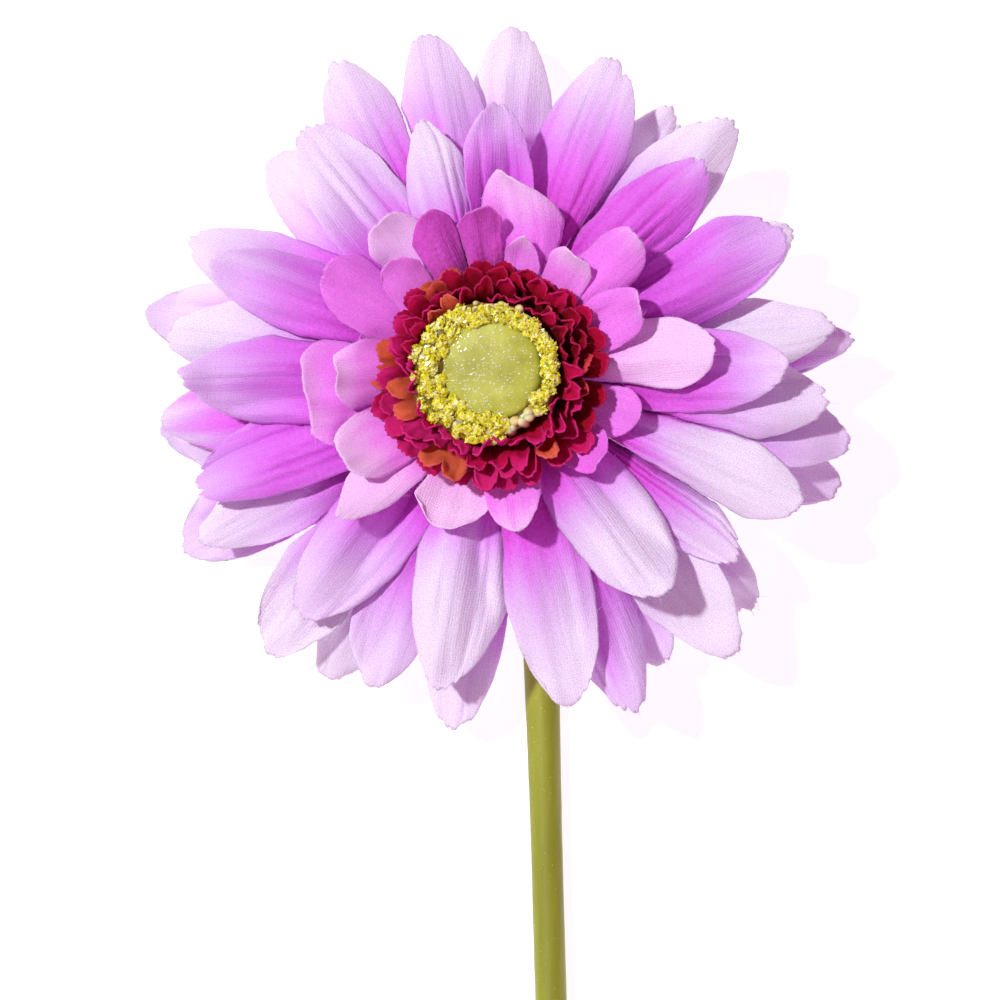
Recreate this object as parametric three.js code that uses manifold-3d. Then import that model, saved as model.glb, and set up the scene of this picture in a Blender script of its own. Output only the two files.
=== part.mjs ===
// A cut gerbera of fabric and moulded plastic, lying on a table with its face up.
// Millimetres, +Z up. The stem runs along -Y and the flower's face looks up.
// Bearings are clock bearings seen from above: 0 points along +Y and 90 along +X.
import * as THREE from "three";
import { mergeVertices } from "three/addons/utils/BufferGeometryUtils.js";
import Module from "manifold-3d";

const wasm = await Module();
wasm.setup();

// Driving dimensions of the head, which leans a little to the left of the stem.
const HUB_HEIGHT = 20.5; // table to the top of the calyx, on the head's axis
const LEAN_LEFT = 6; // degrees
const SHEET = 0.6; // thickness of a fabric blade
const PLATE = 0.7; // thickness of a sheet's round middle
const PLATE_SIDES = 26;
const PLATE_UNDER = 1; // how far a sheet's middle runs on under its petals
const PITCH = 1.1; // from one sheet's middle to the next
const FIRST_PLATE = 0.3; // clearance between the calyx and the lowest sheet
const FRINGE_PLATE = 7.4; // underside of the lowest fringe sheet
const GAP = 0.3; // running clearance between neighbours

// The spike of the stem goes up through every sheet into the green disc.
const SPIKE_RADIUS = 1.5;
const SPIKE_HOLE = 1.9;
const SPIKE_TOP = 13.6;
const SPIKE_TAPER = 0.7; // its tip's radius as a share of its foot's
const SPIKE_ROOT = 2; // how deep it is rooted in the sheath

const DISC_RADIUS = 7.2;
const DISC_BASE = 11.7;
const DISC_TOP = 16;
const DISC_SIDES = 24;
const SOCKET_DEPTH = 2.3; // blind hole under the disc that grips the spike

const STAMEN_INNER = 7.6;
const STAMEN_OUTER = 10.1;
const STAMEN_RIM = 13.2; // top of the band that the stamens stand on
const STAMEN_TIP = 14.6;
const STAMENS = 26;
const STAMEN_RADII = [0.35, 0.5]; // at its tip and at its foot
const STAMEN_SUNK = 0.5; // how deep its foot is in the band
const CRUMB_CENTRE = 9.35; // radius of the crumb ring's middle line
const CRUMB_HEIGHT = 16.2;
const CRUMB_GIRTH = 1.15;
const CRUMBS = 60;
const CRUMB_SIZES = [0.55, 0.85];

const CALYX_DEPTH = 9;
const BRACTS = 13;
const BRACT_THICK = 0.6;

// Stem: a plastic sheath on a wire, thicker at the neck, with a gentle bow along the table.
const NECK_RADIUS = 3.1;
const CUT_RADIUS = 2.5;
const STEM_SIDES = 12;
const WIRE_RADIUS = 1;
const BORE_RADIUS = 1.4;
const WIRE_SHORT = 0.8; // the wire stops this far inside the cut end
const TUBE_SIDES = 8; // of the wire and its bore
const BORE_START = 5; // from the stem's shoulder to the top of the bore
const NECK_LEG = new THREE.Vector3(2.6, -9, 0); // from the neck's corner to the end of its bend
const BOW_ASIDE = 6.6; // the bow's pull to the right, and where along the stem it pulls
const BOW_PLACE = 0.55;
const CUT_ASIDE = 19; // how far right of the head's axis the cut end lies
const STEM_LENGTH = 281; // from the neck's bend to the cut end, along the table
const SOCKET_RADIUS = NECK_RADIUS + GAP;
const SOCKET_TOP = -4.2; // the sheath's shoulder stops just under it

// The petals of the four large sheets, lowest first, then of the two sheets of small petals.
// Each petal: bearing of its tip, reach from the axis, width, then lift and side roll in degrees.
const PETAL_SHEETS = [
  {
    name: "petal_sheet_1",
    slopes: [-6, -44],
    petals: [
      [1, 55, 14, 2, 0],
      [33, 50, 13, 1, -4],
      [64, 51, 13, 0, 3],
      [85, 55, 12, 3, -5],
      [109, 57, 14, 4, 4],
      [133, 55, 13, 4, 0],
      [152, 53, 13, 1, 4],
      [189, 57, 14, 3, -3],
      [211, 57, 14, 0, 5],
      [243, 60, 15, -8, -2],
      [261, 60, 15, -8, 0],
      [280, 60, 14, -6, 2],
      [313, 54, 14, 1, -3],
    ],
  },
  {
    name: "petal_sheet_2",
    slopes: [-2, -26],
    petals: [
      [347, 56, 14, 0, 3],
      [20, 53, 15, 1, -4],
      [42, 54, 14, 0, 4],
      [82, 53, 13, 0, -4],
      [101, 57, 14, 2, 3],
      [140, 57, 15, 0, -5],
      [159, 57, 14, 1, 3],
      [204, 55, 14, 0, 4],
      [221, 59, 15, 1, -3],
      [241, 55, 13, 0, 3],
      [262, 56, 14, -1, 2],
      [293, 55, 14, 0, -4],
      [331, 56, 15, 1, 3],
    ],
  },
  {
    name: "petal_sheet_3",
    slopes: [2, -10],
    petals: [
      [45, 46, 13, 0, 5],
      [64, 50, 15, 1, -3],
      [96, 52, 14, 0, 3],
      [114, 52, 14, 1, -4],
      [128, 48, 11, 0, 9],
      [167, 54, 14, 1, -4],
      [190, 51, 15, 0, 3],
      [219, 50, 14, 0, -5],
      [250, 52, 13, 1, 4],
      [277, 53, 14, 0, -3],
      [321, 50, 14, 0, 4],
    ],
  },
  {
    name: "petal_sheet_4",
    slopes: [6, 4],
    petals: [
      [343, 41, 12, 0, 4],
      [0, 42, 12, 1, -4],
      [90, 46, 13, 0, 4],
      [143, 44, 14, 1, -4],
      [268, 50, 14, 0, 3],
      [291, 48, 12, 1, -3],
    ],
  },
  {
    name: "small_petal_sheet_1",
    slopes: [8, 48],
    petals: [
      [85, 35, 12, -8, 3],
      [48, 31, 9, 0, 8],
      [10, 29, 13, 0, -6],
      [323, 29, 11, 0, 4],
      [301, 31, 12, -3, -4],
      [262, 29, 18, 1, 4],
      [227, 33, 9, -3, -4],
      [199, 25, 13, 0, 5],
      [108, 24, 9, -2, -4],
    ],
  },
  {
    name: "small_petal_sheet_2",
    slopes: [12, 60],
    petals: [
      [355, 25, 9, 0, 5],
      [14, 21, 7, 0, 5],
      [37, 22, 8, 0, -6],
      [67, 25, 9, 0, 6],
      [130, 22, 8, 0, -4],
      [316, 23, 8, -3, 4],
      [337, 26, 9, -1, -5],
      [277, 23, 12, 2, 4],
      [239, 23, 11, 0, -5],
      [171, 25, 9, -4, 4],
    ],
  },
];
const SLIT = 0.4; // between neighbouring petals of one sheet
const PETAL_ROOT = 11; // radius where the large petals leave their sheet's middle
const SMALL_ROOT = 10.8;

// The crimson fringe: each sheet is cut into petals with two round lobes.
const FRINGE_SHEETS = [
  { name: "fringe_sheet_1", root: 12.2, length: 8.2, slopes: [38, 10], first: 11.5 },
  { name: "fringe_sheet_2", root: 11.8, length: 7.6, slopes: [52, 30], first: 24.8 },
  { name: "fringe_sheet_3", root: 11.2, length: 7.0, slopes: [62, 50], first: 14.6 },
  { name: "fringe_sheet_4", root: 10.6, length: 6.6, slopes: [74, 68], first: 0.5 },
];
const FRINGE_PETALS = 13;
const UPRIGHT_SIDE = 112; // the bearing where the fringe curls up most
// Across one fringe petal: how far each line reaches, and how far it waves up or down.
const FRINGE_STEPS = [
  { reach: 0.6, wave: 0.1 },
  { reach: 1, wave: 0.45 },
  { reach: 0.8, wave: -0.4 },
  { reach: 0.98, wave: 0.4 },
];

const UP = new THREE.Vector3(0, 0, 1);
const radians = THREE.MathUtils.degToRad;
const { clamp, smoothstep } = THREE.MathUtils;

// Colours as they show in the photograph, for the plain view of this model.
const plain = (color, roughness) =>
  new THREE.MeshStandardMaterial({ color, roughness, metalness: 0 });
const ORCHID = plain(0xd77fe0, 0.85);
const PALE_ORCHID = plain(0xe9b4ee, 0.85);
const CRIMSON = plain(0xb0126a, 0.9);
const LIME = plain(0xb4bd4a, 0.35);
const GOLD = plain(0xd9cc25, 0.3);
const CREAM = plain(0xead9b8, 0.5);
const STEM_GREEN = plain(0x8c8f35, 0.55);
const STEEL = new THREE.MeshStandardMaterial({ color: 0x8d8f92, roughness: 0.4, metalness: 1 });

// Small seeded generator, so that every build gives the same flower.
function seeded(seed) {
  let state = seed;
  return () => {
    state = (state * 1664525 + 1013904223) % 4294967296;
    return state / 4294967296;
  };
}

function solidOf(geometry) {
  const bare = geometry.clone();
  bare.deleteAttribute("normal");
  bare.deleteAttribute("uv");
  const merged = mergeVertices(bare, 1e-4);
  const mesh = new wasm.Mesh({
    numProp: 3,
    vertProperties: new Float32Array(merged.attributes.position.array),
    triVerts: new Uint32Array(merged.index.array),
  });
  return new wasm.Manifold(mesh);
}

function closedGeometry(position, index) {
  const geometry = new THREE.BufferGeometry();
  geometry.setAttribute("position", new THREE.Float32BufferAttribute(position, 3));
  geometry.setIndex(index);
  return geometry;
}

function geometryOf(solid) {
  const { vertProperties, triVerts } = solid.getMesh();
  const geometry = new THREE.BufferGeometry();
  geometry.setAttribute("position", new THREE.BufferAttribute(vertProperties, 3));
  geometry.setIndex(new THREE.BufferAttribute(triVerts, 1));
  geometry.computeVertexNormals();
  return geometry;
}

// Joins closed geometries and keeps the largest body, so that no loose scrap is left.
function fused(geometries) {
  const whole = geometries.map(solidOf).reduce((a, b) => a.add(b));
  const bodies = whole.decompose();
  return bodies.reduce((a, b) => (b.volume() > a.volume() ? b : a));
}

function named(name, geometry, material) {
  const mesh = new THREE.Mesh(geometry, material);
  mesh.name = name;
  return mesh;
}

// A closed ring or cup turned about the axis, from a profile of [radius, height] points.
function turned(profile, segments) {
  const points = profile.map(([r, z]) => new THREE.Vector2(r, z));
  const geometry = new THREE.LatheGeometry(points, segments);
  geometry.rotateX(Math.PI / 2);
  return geometry;
}

function ring(inner, outer, bottom, top, segments) {
  const profile = [
    [inner, bottom],
    [outer, bottom],
    [outer, top],
    [inner, top],
    [inner, bottom],
  ];
  return turned(profile, segments);
}

// Closed blade between two grids of points, `upper` and `lower`, with the same rows and columns.
function bladeOf(upper, lower) {
  const rows = upper.length;
  const columns = upper[0].length;
  const count = rows * columns;
  const position = [...upper.flat(), ...lower.flat()].flatMap((p) => [p.x, p.y, p.z]);
  const index = [];
  const at = (i, j) => i * columns + j;
  const quad = (a, b, c, d) => index.push(a, b, c, a, c, d);
  for (let i = 0; i + 1 < rows; i++) {
    for (let j = 0; j + 1 < columns; j++) {
      // The diagonal leans the same way on both faces.
      const [a, b, c, d] = [at(i, j), at(i, j + 1), at(i + 1, j + 1), at(i + 1, j)];
      index.push(a, b, c, a, c, d);
      index.push(a + count, c + count, b + count, a + count, d + count, c + count);
    }
  }
  for (let i = 0; i + 1 < rows; i++) {
    const [left, leftNext] = [at(i, 0), at(i + 1, 0)];
    const [right, rightNext] = [at(i, columns - 1), at(i + 1, columns - 1)];
    quad(left, leftNext, leftNext + count, left + count);
    quad(right, right + count, rightNext + count, rightNext);
  }
  for (let j = 0; j + 1 < columns; j++) {
    quad(at(0, j), at(0, j) + count, at(0, j + 1) + count, at(0, j + 1));
    const [tip, tipNext] = [at(rows - 1, j), at(rows - 1, j + 1)];
    quad(tip, tipNext, tipNext + count, tip + count);
  }
  return closedGeometry(position, index);
}

// Middle line of a petal: it leaves at `root`, and its slope changes with the square of the way along.
function spine({ root, height, length, slopes, power = 2 }) {
  const steps = 32;
  const slopeAt = (t) => radians(slopes[0] + (slopes[1] - slopes[0]) * t ** power);
  const line = [[root, height]];
  for (let i = 0; i < steps; i++) {
    const slope = slopeAt((i + 0.5) / steps);
    const [r, z] = line[i];
    line.push([r + (length / steps) * Math.cos(slope), z + (length / steps) * Math.sin(slope)]);
  }
  return (t) => {
    const place = clamp(t, 0, 1) * steps;
    const i = Math.min(Math.floor(place), steps - 1);
    const share = place - i;
    const r = line[i][0] + (line[i + 1][0] - line[i][0]) * share;
    const z = line[i][1] + (line[i + 1][1] - line[i][1]) * share;
    return { r, z, slope: slopeAt(t) };
  };
}

// Length that brings a petal's tip to its reach.
function lengthFor(reach, root, slopes) {
  const unit = spine({ root: 0, height: 0, length: 1, slopes })(1);
  return (reach - root) / unit.r;
}

// The leaning head: its own axis seen from the table, and the table's up seen from the head.
const head = new THREE.Group();
head.position.set(0, 0, HUB_HEIGHT);
head.rotation.set(0, radians(-LEAN_LEFT), 0);
head.updateMatrix();
const headAxis = UP.clone().applyEuler(head.rotation);
const tableUp = headAxis.clone().setX(-headAxis.x);

// Fabric that would reach below the table lies flat on it instead.
function keptOnTable(point, clearance) {
  const above = HUB_HEIGHT + point.dot(tableUp) - clearance;
  return above < 0 ? point.addScaledVector(tableUp, -above) : point;
}

// Half width of a large petal, as a share: narrow at its root, widest past the middle, blunt tip.
const WIDEST = 0.55;
function petalOutline(t) {
  if (t < WIDEST) return 0.4 + 0.6 * Math.sin((Math.PI / 2) * (t / WIDEST));
  return Math.sqrt(1 - 0.66 * ((t - WIDEST) / (1 - WIDEST)) ** 3);
}

// Two pressed grooves run along each petal and end in shallow notches at its tip.
const GROOVES = [-0.36, 0.36];
const GROOVE_DEPTH = 0.45;
const NOTCH = 0.008;
const ROUND_END = 0.1;
const CUP = -0.1;
const BLADE_ROWS = [0, 0.3, 0.58, 0.84, 1];

// `room` is the half angle free on each side, up to the slit shared with the neighbour.
function petalBlade({ bearing, root, height, length, slopes, width, roll, room }) {
  const columns = [-1, GROOVES[0], 0, GROOVES[1], 1];
  const line = spine({ root, height, length, slopes });
  const angle = radians(bearing);
  const outward = new THREE.Vector3(Math.sin(angle), Math.cos(angle), 0);
  const aside = new THREE.Vector3(Math.cos(angle), -Math.sin(angle), 0);
  const upper = [];
  const lower = [];
  for (const row of BLADE_ROWS) {
    const [top, bottom] = [[], []];
    for (const v of columns) {
      const grooved = GROOVES.includes(v) ? 1 : 0;
      const t = row * (1 - ROUND_END * v * v - NOTCH * grooved * row ** 8);
      const { r, z, slope } = line(t);
      const free = r * Math.tan(v < 0 ? room[0] : room[1]) - SLIT / 2;
      const half = Math.min((width / 2) * petalOutline(row), free);
      const normal = outward
        .clone()
        .multiplyScalar(-Math.sin(slope))
        .addScaledVector(UP, Math.cos(slope));
      const shaped = smoothstep(t, 0, 0.35);
      const bulge = shaped * (CUP * half * (v * v - 0.3) - GROOVE_DEPTH * grooved);
      const tilt = Math.tan(radians(roll)) * half * v * t;
      const middle = outward
        .clone()
        .multiplyScalar(r)
        .addScaledVector(UP, z)
        .addScaledVector(aside, half * v)
        .addScaledVector(normal, bulge + tilt);
      top.push(keptOnTable(middle.clone().addScaledVector(normal, SHEET / 2), SHEET));
      bottom.push(keptOnTable(middle.clone().addScaledVector(normal, -SHEET / 2), 0));
    }
    upper.push(top);
    lower.push(bottom);
  }
  return bladeOf(upper, lower);
}

// Half angles from one petal to its neighbours before and after it, in radians.
function roomBeside(bearing, bearings) {
  const steps = bearings.map((other) => (other - bearing + 360) % 360).filter((step) => step > 0);
  return [(360 - Math.max(...steps)) / 2, Math.min(...steps) / 2].map(radians);
}

function petalSheet({ name, slopes, petals }, number) {
  const small = name.startsWith("small");
  const root = small ? SMALL_ROOT : PETAL_ROOT;
  const bottom = FIRST_PLATE + PITCH * number;
  const height = bottom + PLATE / 2;
  const bearings = petals.map(([bearing]) => bearing);
  const blades = petals.map(([bearing, reach, width, lift, roll]) => {
    const lifted = [slopes[0], slopes[1] + 3 * lift];
    const length = lengthFor(reach, root, lifted);
    const room = roomBeside(bearing, bearings);
    return petalBlade({ bearing, root, height, length, slopes: lifted, width, roll, room });
  });
  const plate = ring(SPIKE_HOLE, root + PLATE_UNDER, bottom, bottom + PLATE, PLATE_SIDES);
  const material = small ? PALE_ORCHID : ORCHID;
  return named(name, geometryOf(fused([plate, ...blades])), material);
}

// Closed sheet round the axis between two grids of points, whose columns go once round.
function sheetRound(upper, lower) {
  const rows = upper.length;
  const columns = upper[0].length;
  const count = rows * columns;
  const position = [...upper.flat(), ...lower.flat()].flatMap((p) => [p.x, p.y, p.z]);
  const index = [];
  const at = (i, j) => i * columns + (j % columns);
  for (let j = 0; j < columns; j++) {
    for (let i = 0; i + 1 < rows; i++) {
      const [a, b, c, d] = [at(i, j), at(i, j + 1), at(i + 1, j + 1), at(i + 1, j)];
      index.push(a, b, c, a, c, d);
      index.push(a + count, c + count, b + count, a + count, d + count, c + count);
    }
    const [inside, insideNext] = [at(0, j), at(0, j + 1)];
    index.push(inside, inside + count, insideNext + count, inside, insideNext + count, insideNext);
    const [rim, rimNext] = [at(rows - 1, j), at(rows - 1, j + 1)];
    index.push(rim, rimNext, rimNext + count, rim, rimNext + count, rim + count);
  }
  return closedGeometry(position, index);
}

// Slopes of a fringe sheet at a bearing: on one side of the flower it curls up towards its tips.
function fringeSlopes([first, last], bearing) {
  const up = 0.45 + 0.45 * Math.cos(radians(bearing - UPRIGHT_SIDE));
  return [first - 14 * up, last + 52 * up * (1 - last / 130)];
}

// A fringe sheet stands up round the stamens and spreads into ruffled petals with two lobes each.
function fringeSheet({ name, root, length, slopes, first }, number) {
  const bottom = FRINGE_PLATE + PITCH * number;
  const draw = seeded(11 + number);
  const shares = [0, 0.45, 1];
  const rowCount = shares.length + 1;
  const upper = Array.from({ length: rowCount }, () => []);
  const lower = Array.from({ length: rowCount }, () => []);
  const columns = FRINGE_PETALS * FRINGE_STEPS.length;
  for (let j = 0; j < columns; j++) {
    const { reach, wave } = FRINGE_STEPS[j % FRINGE_STEPS.length];
    const ownReach = reach * (0.94 + 0.12 * draw());
    const ruffle = wave * (0.5 + 0.5 * draw());
    const bearing = first + (360 / columns) * j + 2 * (draw() - 0.5);
    const own = fringeSlopes(slopes, bearing);
    const line = spine({ root, height: bottom + SHEET / 2, length, slopes: own, power: 1 });
    const angle = radians(bearing);
    const outward = new THREE.Vector3(Math.sin(angle), Math.cos(angle), 0);
    const rim = outward.clone().multiplyScalar(SPIKE_HOLE).addScaledVector(UP, bottom);
    lower[0].push(rim);
    upper[0].push(rim.clone().addScaledVector(UP, SHEET));
    shares.forEach((share, i) => {
      const { r, z, slope } = line(share * ownReach);
      const lean = share === 0 ? radians(own[0]) / 2 : slope;
      const normal = outward
        .clone()
        .multiplyScalar(-Math.sin(lean))
        .addScaledVector(UP, Math.cos(lean));
      const thick = share === 0 ? SHEET / Math.cos(lean) : SHEET;
      const middle = outward.clone().multiplyScalar(r).addScaledVector(UP, z);
      middle.addScaledVector(normal, ruffle * share);
      upper[i + 1].push(middle.clone().addScaledVector(normal, thick / 2));
      lower[i + 1].push(middle.clone().addScaledVector(normal, -thick / 2));
    });
  }
  return named(name, geometryOf(solidOf(sheetRound(upper, lower))), CRIMSON);
}

// The green disc: a low dome with a blind socket under it.
function centreDisc() {
  const socketTop = DISC_BASE + SOCKET_DEPTH;
  const profile = [
    [0, socketTop],
    [SPIKE_HOLE, socketTop],
    [SPIKE_HOLE, DISC_BASE],
    [DISC_RADIUS - 0.4, DISC_BASE],
    [DISC_RADIUS, DISC_BASE + 0.6],
    [DISC_RADIUS, DISC_TOP - 1.9],
    [DISC_RADIUS - 0.5, DISC_TOP - 1.05],
    [DISC_RADIUS - 1.8, DISC_TOP - 0.45],
    [DISC_RADIUS - 4, DISC_TOP - 0.1],
    [0, DISC_TOP],
  ];
  return named("centre_disc", geometryOf(solidOf(turned(profile, DISC_SIDES))), LIME);
}

// Cream band round the disc, with short stamens that carry the gold crumbs.
function stamenRing() {
  const pieces = [ring(STAMEN_INNER, STAMEN_OUTER, DISC_BASE, STAMEN_RIM, PLATE_SIDES)];
  const height = STAMEN_TIP - STAMEN_RIM + STAMEN_SUNK;
  for (let i = 0; i < STAMENS; i++) {
    const peg = new THREE.CylinderGeometry(...STAMEN_RADII, height, 5);
    peg.rotateX(Math.PI / 2);
    const angle = (2 * Math.PI * (i + 0.25)) / STAMENS;
    const radius = CRUMB_CENTRE + (i % 2 ? 0.15 : -0.6);
    const middle = STAMEN_TIP - height / 2;
    peg.translate(radius * Math.sin(angle), radius * Math.cos(angle), middle);
    pieces.push(peg);
  }
  return named("stamen_ring", geometryOf(fused(pieces)), CREAM);
}

// Crumbly gold ring: an uneven core with angular crumbs standing out of it on every side.
function crumbRing() {
  const draw = seeded(5);
  const core = new THREE.TorusGeometry(CRUMB_CENTRE, CRUMB_GIRTH * 0.85, 6, 36);
  core.translate(0, 0, CRUMB_HEIGHT);
  const pieces = [core];
  for (let i = 0; i < CRUMBS; i++) {
    const size = CRUMB_SIZES[0] + (CRUMB_SIZES[1] - CRUMB_SIZES[0]) * draw();
    const crumb = new THREE.OctahedronGeometry(size);
    crumb.rotateX(Math.PI * draw());
    crumb.rotateY(Math.PI * draw());
    const round = (2 * Math.PI * (i + 0.5 * draw())) / CRUMBS;
    const about = -0.25 + (Math.PI + 0.5) * (((i * 5) % 8) / 7);
    const out = CRUMB_CENTRE + (CRUMB_GIRTH - 0.1) * Math.cos(about);
    const up = CRUMB_HEIGHT + (CRUMB_GIRTH - 0.1) * Math.sin(about);
    crumb.translate(out * Math.sin(round), out * Math.cos(round), up);
    pieces.push(crumb);
  }
  return named("gold_crumb_ring", geometryOf(fused(pieces)), GOLD);
}

// Green cup that carries the sheets, with narrow pointed bracts laid round it.
function calyx() {
  const foot = SOCKET_RADIUS + 1.1;
  const profile = [
    [SPIKE_HOLE, 0],
    [SPIKE_HOLE, SOCKET_TOP],
    [SOCKET_RADIUS, SOCKET_TOP],
    [SOCKET_RADIUS, -CALYX_DEPTH],
    [foot, -CALYX_DEPTH],
    [5.2, -7.8],
    [7.4, -5.4],
    [9.2, -2.4],
    [9.7, -0.7],
    [9.4, 0],
    [SPIKE_HOLE, 0],
  ];
  const pieces = [turned(profile, DISC_SIDES)];
  for (let i = 0; i < BRACTS; i++) {
    pieces.push(bract((360 / BRACTS) * i));
  }
  return named("calyx", geometryOf(fused(pieces)), STEM_GREEN);
}

function bract(bearing) {
  const angle = radians(bearing);
  const outward = new THREE.Vector3(Math.sin(angle), Math.cos(angle), 0);
  const aside = new THREE.Vector3(Math.cos(angle), -Math.sin(angle), 0);
  // Radius, height and half width along the bract, from its root on the cup to its point.
  const line = [
    [4.4, -7.9, 0.7],
    [7.0, -5.0, 1.2],
    [8.9, -2.3, 1],
    [10.5, -1, 0.15],
  ];
  const grid = (step) =>
    line.map(([r, z, half]) =>
      [-1, 1].map((v) =>
        outward
          .clone()
          .multiplyScalar(r + step)
          .addScaledVector(UP, z - step)
          .addScaledVector(aside, half * v),
      ),
    );
  return bladeOf(grid(0), grid(BRACT_THICK));
}

// The stem's middle line: up the calyx's socket, round the neck's bend, then bowing along the table.
function stemLine() {
  const along = (distance) => head.position.clone().addScaledVector(headAxis, distance);
  const shoulder = along(SOCKET_TOP - GAP);
  const neck = along(-CALYX_DEPTH);
  const low = NECK_RADIUS * Math.cos(Math.PI / STEM_SIDES);
  const corner = along((low - HUB_HEIGHT) / headAxis.z);
  const bendEnd = corner.clone().add(NECK_LEG);
  const line = new THREE.CurvePath();
  line.add(new THREE.LineCurve3(shoulder, neck));
  line.add(new THREE.QuadraticBezierCurve3(neck, corner, bendEnd));
  const end = new THREE.Vector3(CUT_ASIDE, bendEnd.y - STEM_LENGTH, low);
  const pullOut = bendEnd.clone().addScaledVector(NECK_LEG, 1.5);
  const pullEnd = new THREE.Vector3(BOW_ASIDE, bendEnd.y - STEM_LENGTH * BOW_PLACE, low);
  line.add(new THREE.CubicBezierCurve3(bendEnd, pullOut, pullEnd, end));
  return line;
}

// Shares of the stem's line where a ring of points stands: close together round the bend.
function stemStations(line) {
  const [upright, bend, whole] = line.getCurveLengths();
  const stations = [0, upright / whole];
  const bendSteps = 8;
  for (let i = 1; i <= bendSteps; i++) {
    stations.push((upright + ((bend - upright) * i) / bendSteps) / whole);
  }
  const runSteps = 9;
  for (let i = 1; i <= runSteps; i++) {
    const share = (i / runSteps) ** 1.3;
    stations.push((bend + (whole - bend) * share) / whole);
  }
  return stations;
}

// A closed tube along the line. Its sides stay square to the table, so one flat side faces down.
function tubeAlong(line, stations, radiusAt, sides) {
  const position = [];
  const index = [];
  const side = new THREE.Vector3(1, 0, 0);
  for (const share of stations) {
    const onLine = Math.min(share, 1);
    const tangent = line.getTangentAt(onLine);
    const past = (share - onLine) * line.getLength();
    const middle = line.getPointAt(onLine).addScaledVector(tangent, past);
    middle.z -= (NECK_RADIUS - stemRadius(share)) * Math.cos(Math.PI / STEM_SIDES);
    const radius = radiusAt(share);
    const across = side.clone().addScaledVector(tangent, -side.dot(tangent)).normalize();
    const above = across.clone().cross(tangent).negate();
    for (let k = 0; k < sides; k++) {
      const turn = (2 * Math.PI * (k + 0.5)) / sides + Math.PI / 2;
      const point = middle
        .clone()
        .addScaledVector(across, radius * Math.cos(turn))
        .addScaledVector(above, radius * Math.sin(turn));
      position.push(point.x, point.y, point.z);
    }
  }
  const last = (stations.length - 1) * sides;
  for (let i = 0; i + 1 < stations.length; i++) {
    for (let k = 0; k < sides; k++) {
      const [a, b] = [i * sides + k, i * sides + ((k + 1) % sides)];
      index.push(a, b, b + sides, a, b + sides, a + sides);
    }
  }
  for (let k = 1; k + 1 < sides; k++) {
    index.push(0, k + 1, k, last, last + k, last + k + 1);
  }
  return solidOf(closedGeometry(position, index));
}

const stemRadius = (share) =>
  CUT_RADIUS + (NECK_RADIUS - CUT_RADIUS) * (1 - smoothstep(share, 0.1, 0.3));

function stemAndWire() {
  const line = stemLine();
  const stations = stemStations(line);
  const whole = line.getLength();
  const outside = tubeAlong(line, stations, stemRadius, STEM_SIDES);
  // The bore comes out at the cut end, and the wire in it ends just inside.
  const inner = stations.filter((share) => share * whole > BORE_START && share < 1);
  const bore = tubeAlong(line, [...inner, 1 + 2 / whole], () => BORE_RADIUS, TUBE_SIDES);
  const wireStations = [...inner.slice(1), 1 - WIRE_SHORT / whole];
  const wire = tubeAlong(line, wireStations, () => WIRE_RADIUS, TUBE_SIDES);
  const spikeFoot = SOCKET_TOP - SPIKE_ROOT;
  const height = SPIKE_TOP - spikeFoot;
  const spike = new THREE.CylinderGeometry(SPIKE_RADIUS * SPIKE_TAPER, SPIKE_RADIUS, height, 10);
  spike.rotateX(Math.PI / 2);
  spike.translate(0, 0, (SPIKE_TOP + spikeFoot) / 2);
  spike.applyMatrix4(head.matrix);
  const stem = outside.subtract(bore).add(solidOf(spike));
  return [
    named("stem", geometryOf(stem), STEM_GREEN),
    named("stem_wire", geometryOf(wire), STEEL),
  ];
}

const flower = new THREE.Group();
head.add(calyx());
PETAL_SHEETS.forEach((sheet, number) => head.add(petalSheet(sheet, number)));
FRINGE_SHEETS.forEach((sheet, number) => head.add(fringeSheet(sheet, number)));
head.add(stamenRing(), crumbRing(), centreDisc());
flower.add(head, ...stemAndWire());

// The origin is under the middle of the whole flower, on the table.
flower.updateMatrixWorld(true);
const reach = new THREE.Box3().setFromObject(flower, true);
const centre = reach.getCenter(new THREE.Vector3());
flower.position.set(-centre.x, -centre.y, -reach.min.z);

export default flower;
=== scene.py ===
# %% [markdown]
# # A fabric gerbera, finished in Blender
# The construction comes first and is not touched here: every solid has its size and its place.
# This script gives each of those solids the surface of the real flower. That flower is made of
# woven polyester, cut into petals with a die, dyed, pressed and pushed on to a plastic spike.
# So most of the work is cloth: how it bends, where it is creased, how the dye fades towards the
# tips, and how the cut edges fray. The middle is moulded plastic with glitter glued on.

# %% Load the construction
import math
import random
from collections import namedtuple

import bpy
from mathutils import Matrix, Vector, noise
from mathutils.bvhtree import BVHTree


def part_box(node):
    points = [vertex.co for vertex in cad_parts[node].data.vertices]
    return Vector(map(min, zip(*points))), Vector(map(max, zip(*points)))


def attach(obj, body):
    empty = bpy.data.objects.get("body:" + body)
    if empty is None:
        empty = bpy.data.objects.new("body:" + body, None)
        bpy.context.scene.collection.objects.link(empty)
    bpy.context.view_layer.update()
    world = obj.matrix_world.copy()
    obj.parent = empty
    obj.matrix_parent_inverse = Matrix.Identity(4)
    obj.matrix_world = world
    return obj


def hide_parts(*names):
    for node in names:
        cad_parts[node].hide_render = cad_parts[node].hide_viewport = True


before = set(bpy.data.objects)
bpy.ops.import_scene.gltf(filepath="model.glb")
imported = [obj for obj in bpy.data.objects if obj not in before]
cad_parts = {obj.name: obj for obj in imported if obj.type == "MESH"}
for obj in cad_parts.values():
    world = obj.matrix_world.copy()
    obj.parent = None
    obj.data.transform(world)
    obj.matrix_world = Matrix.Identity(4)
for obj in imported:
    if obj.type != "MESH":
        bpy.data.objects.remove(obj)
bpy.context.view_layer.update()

MM = 0.001

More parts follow.
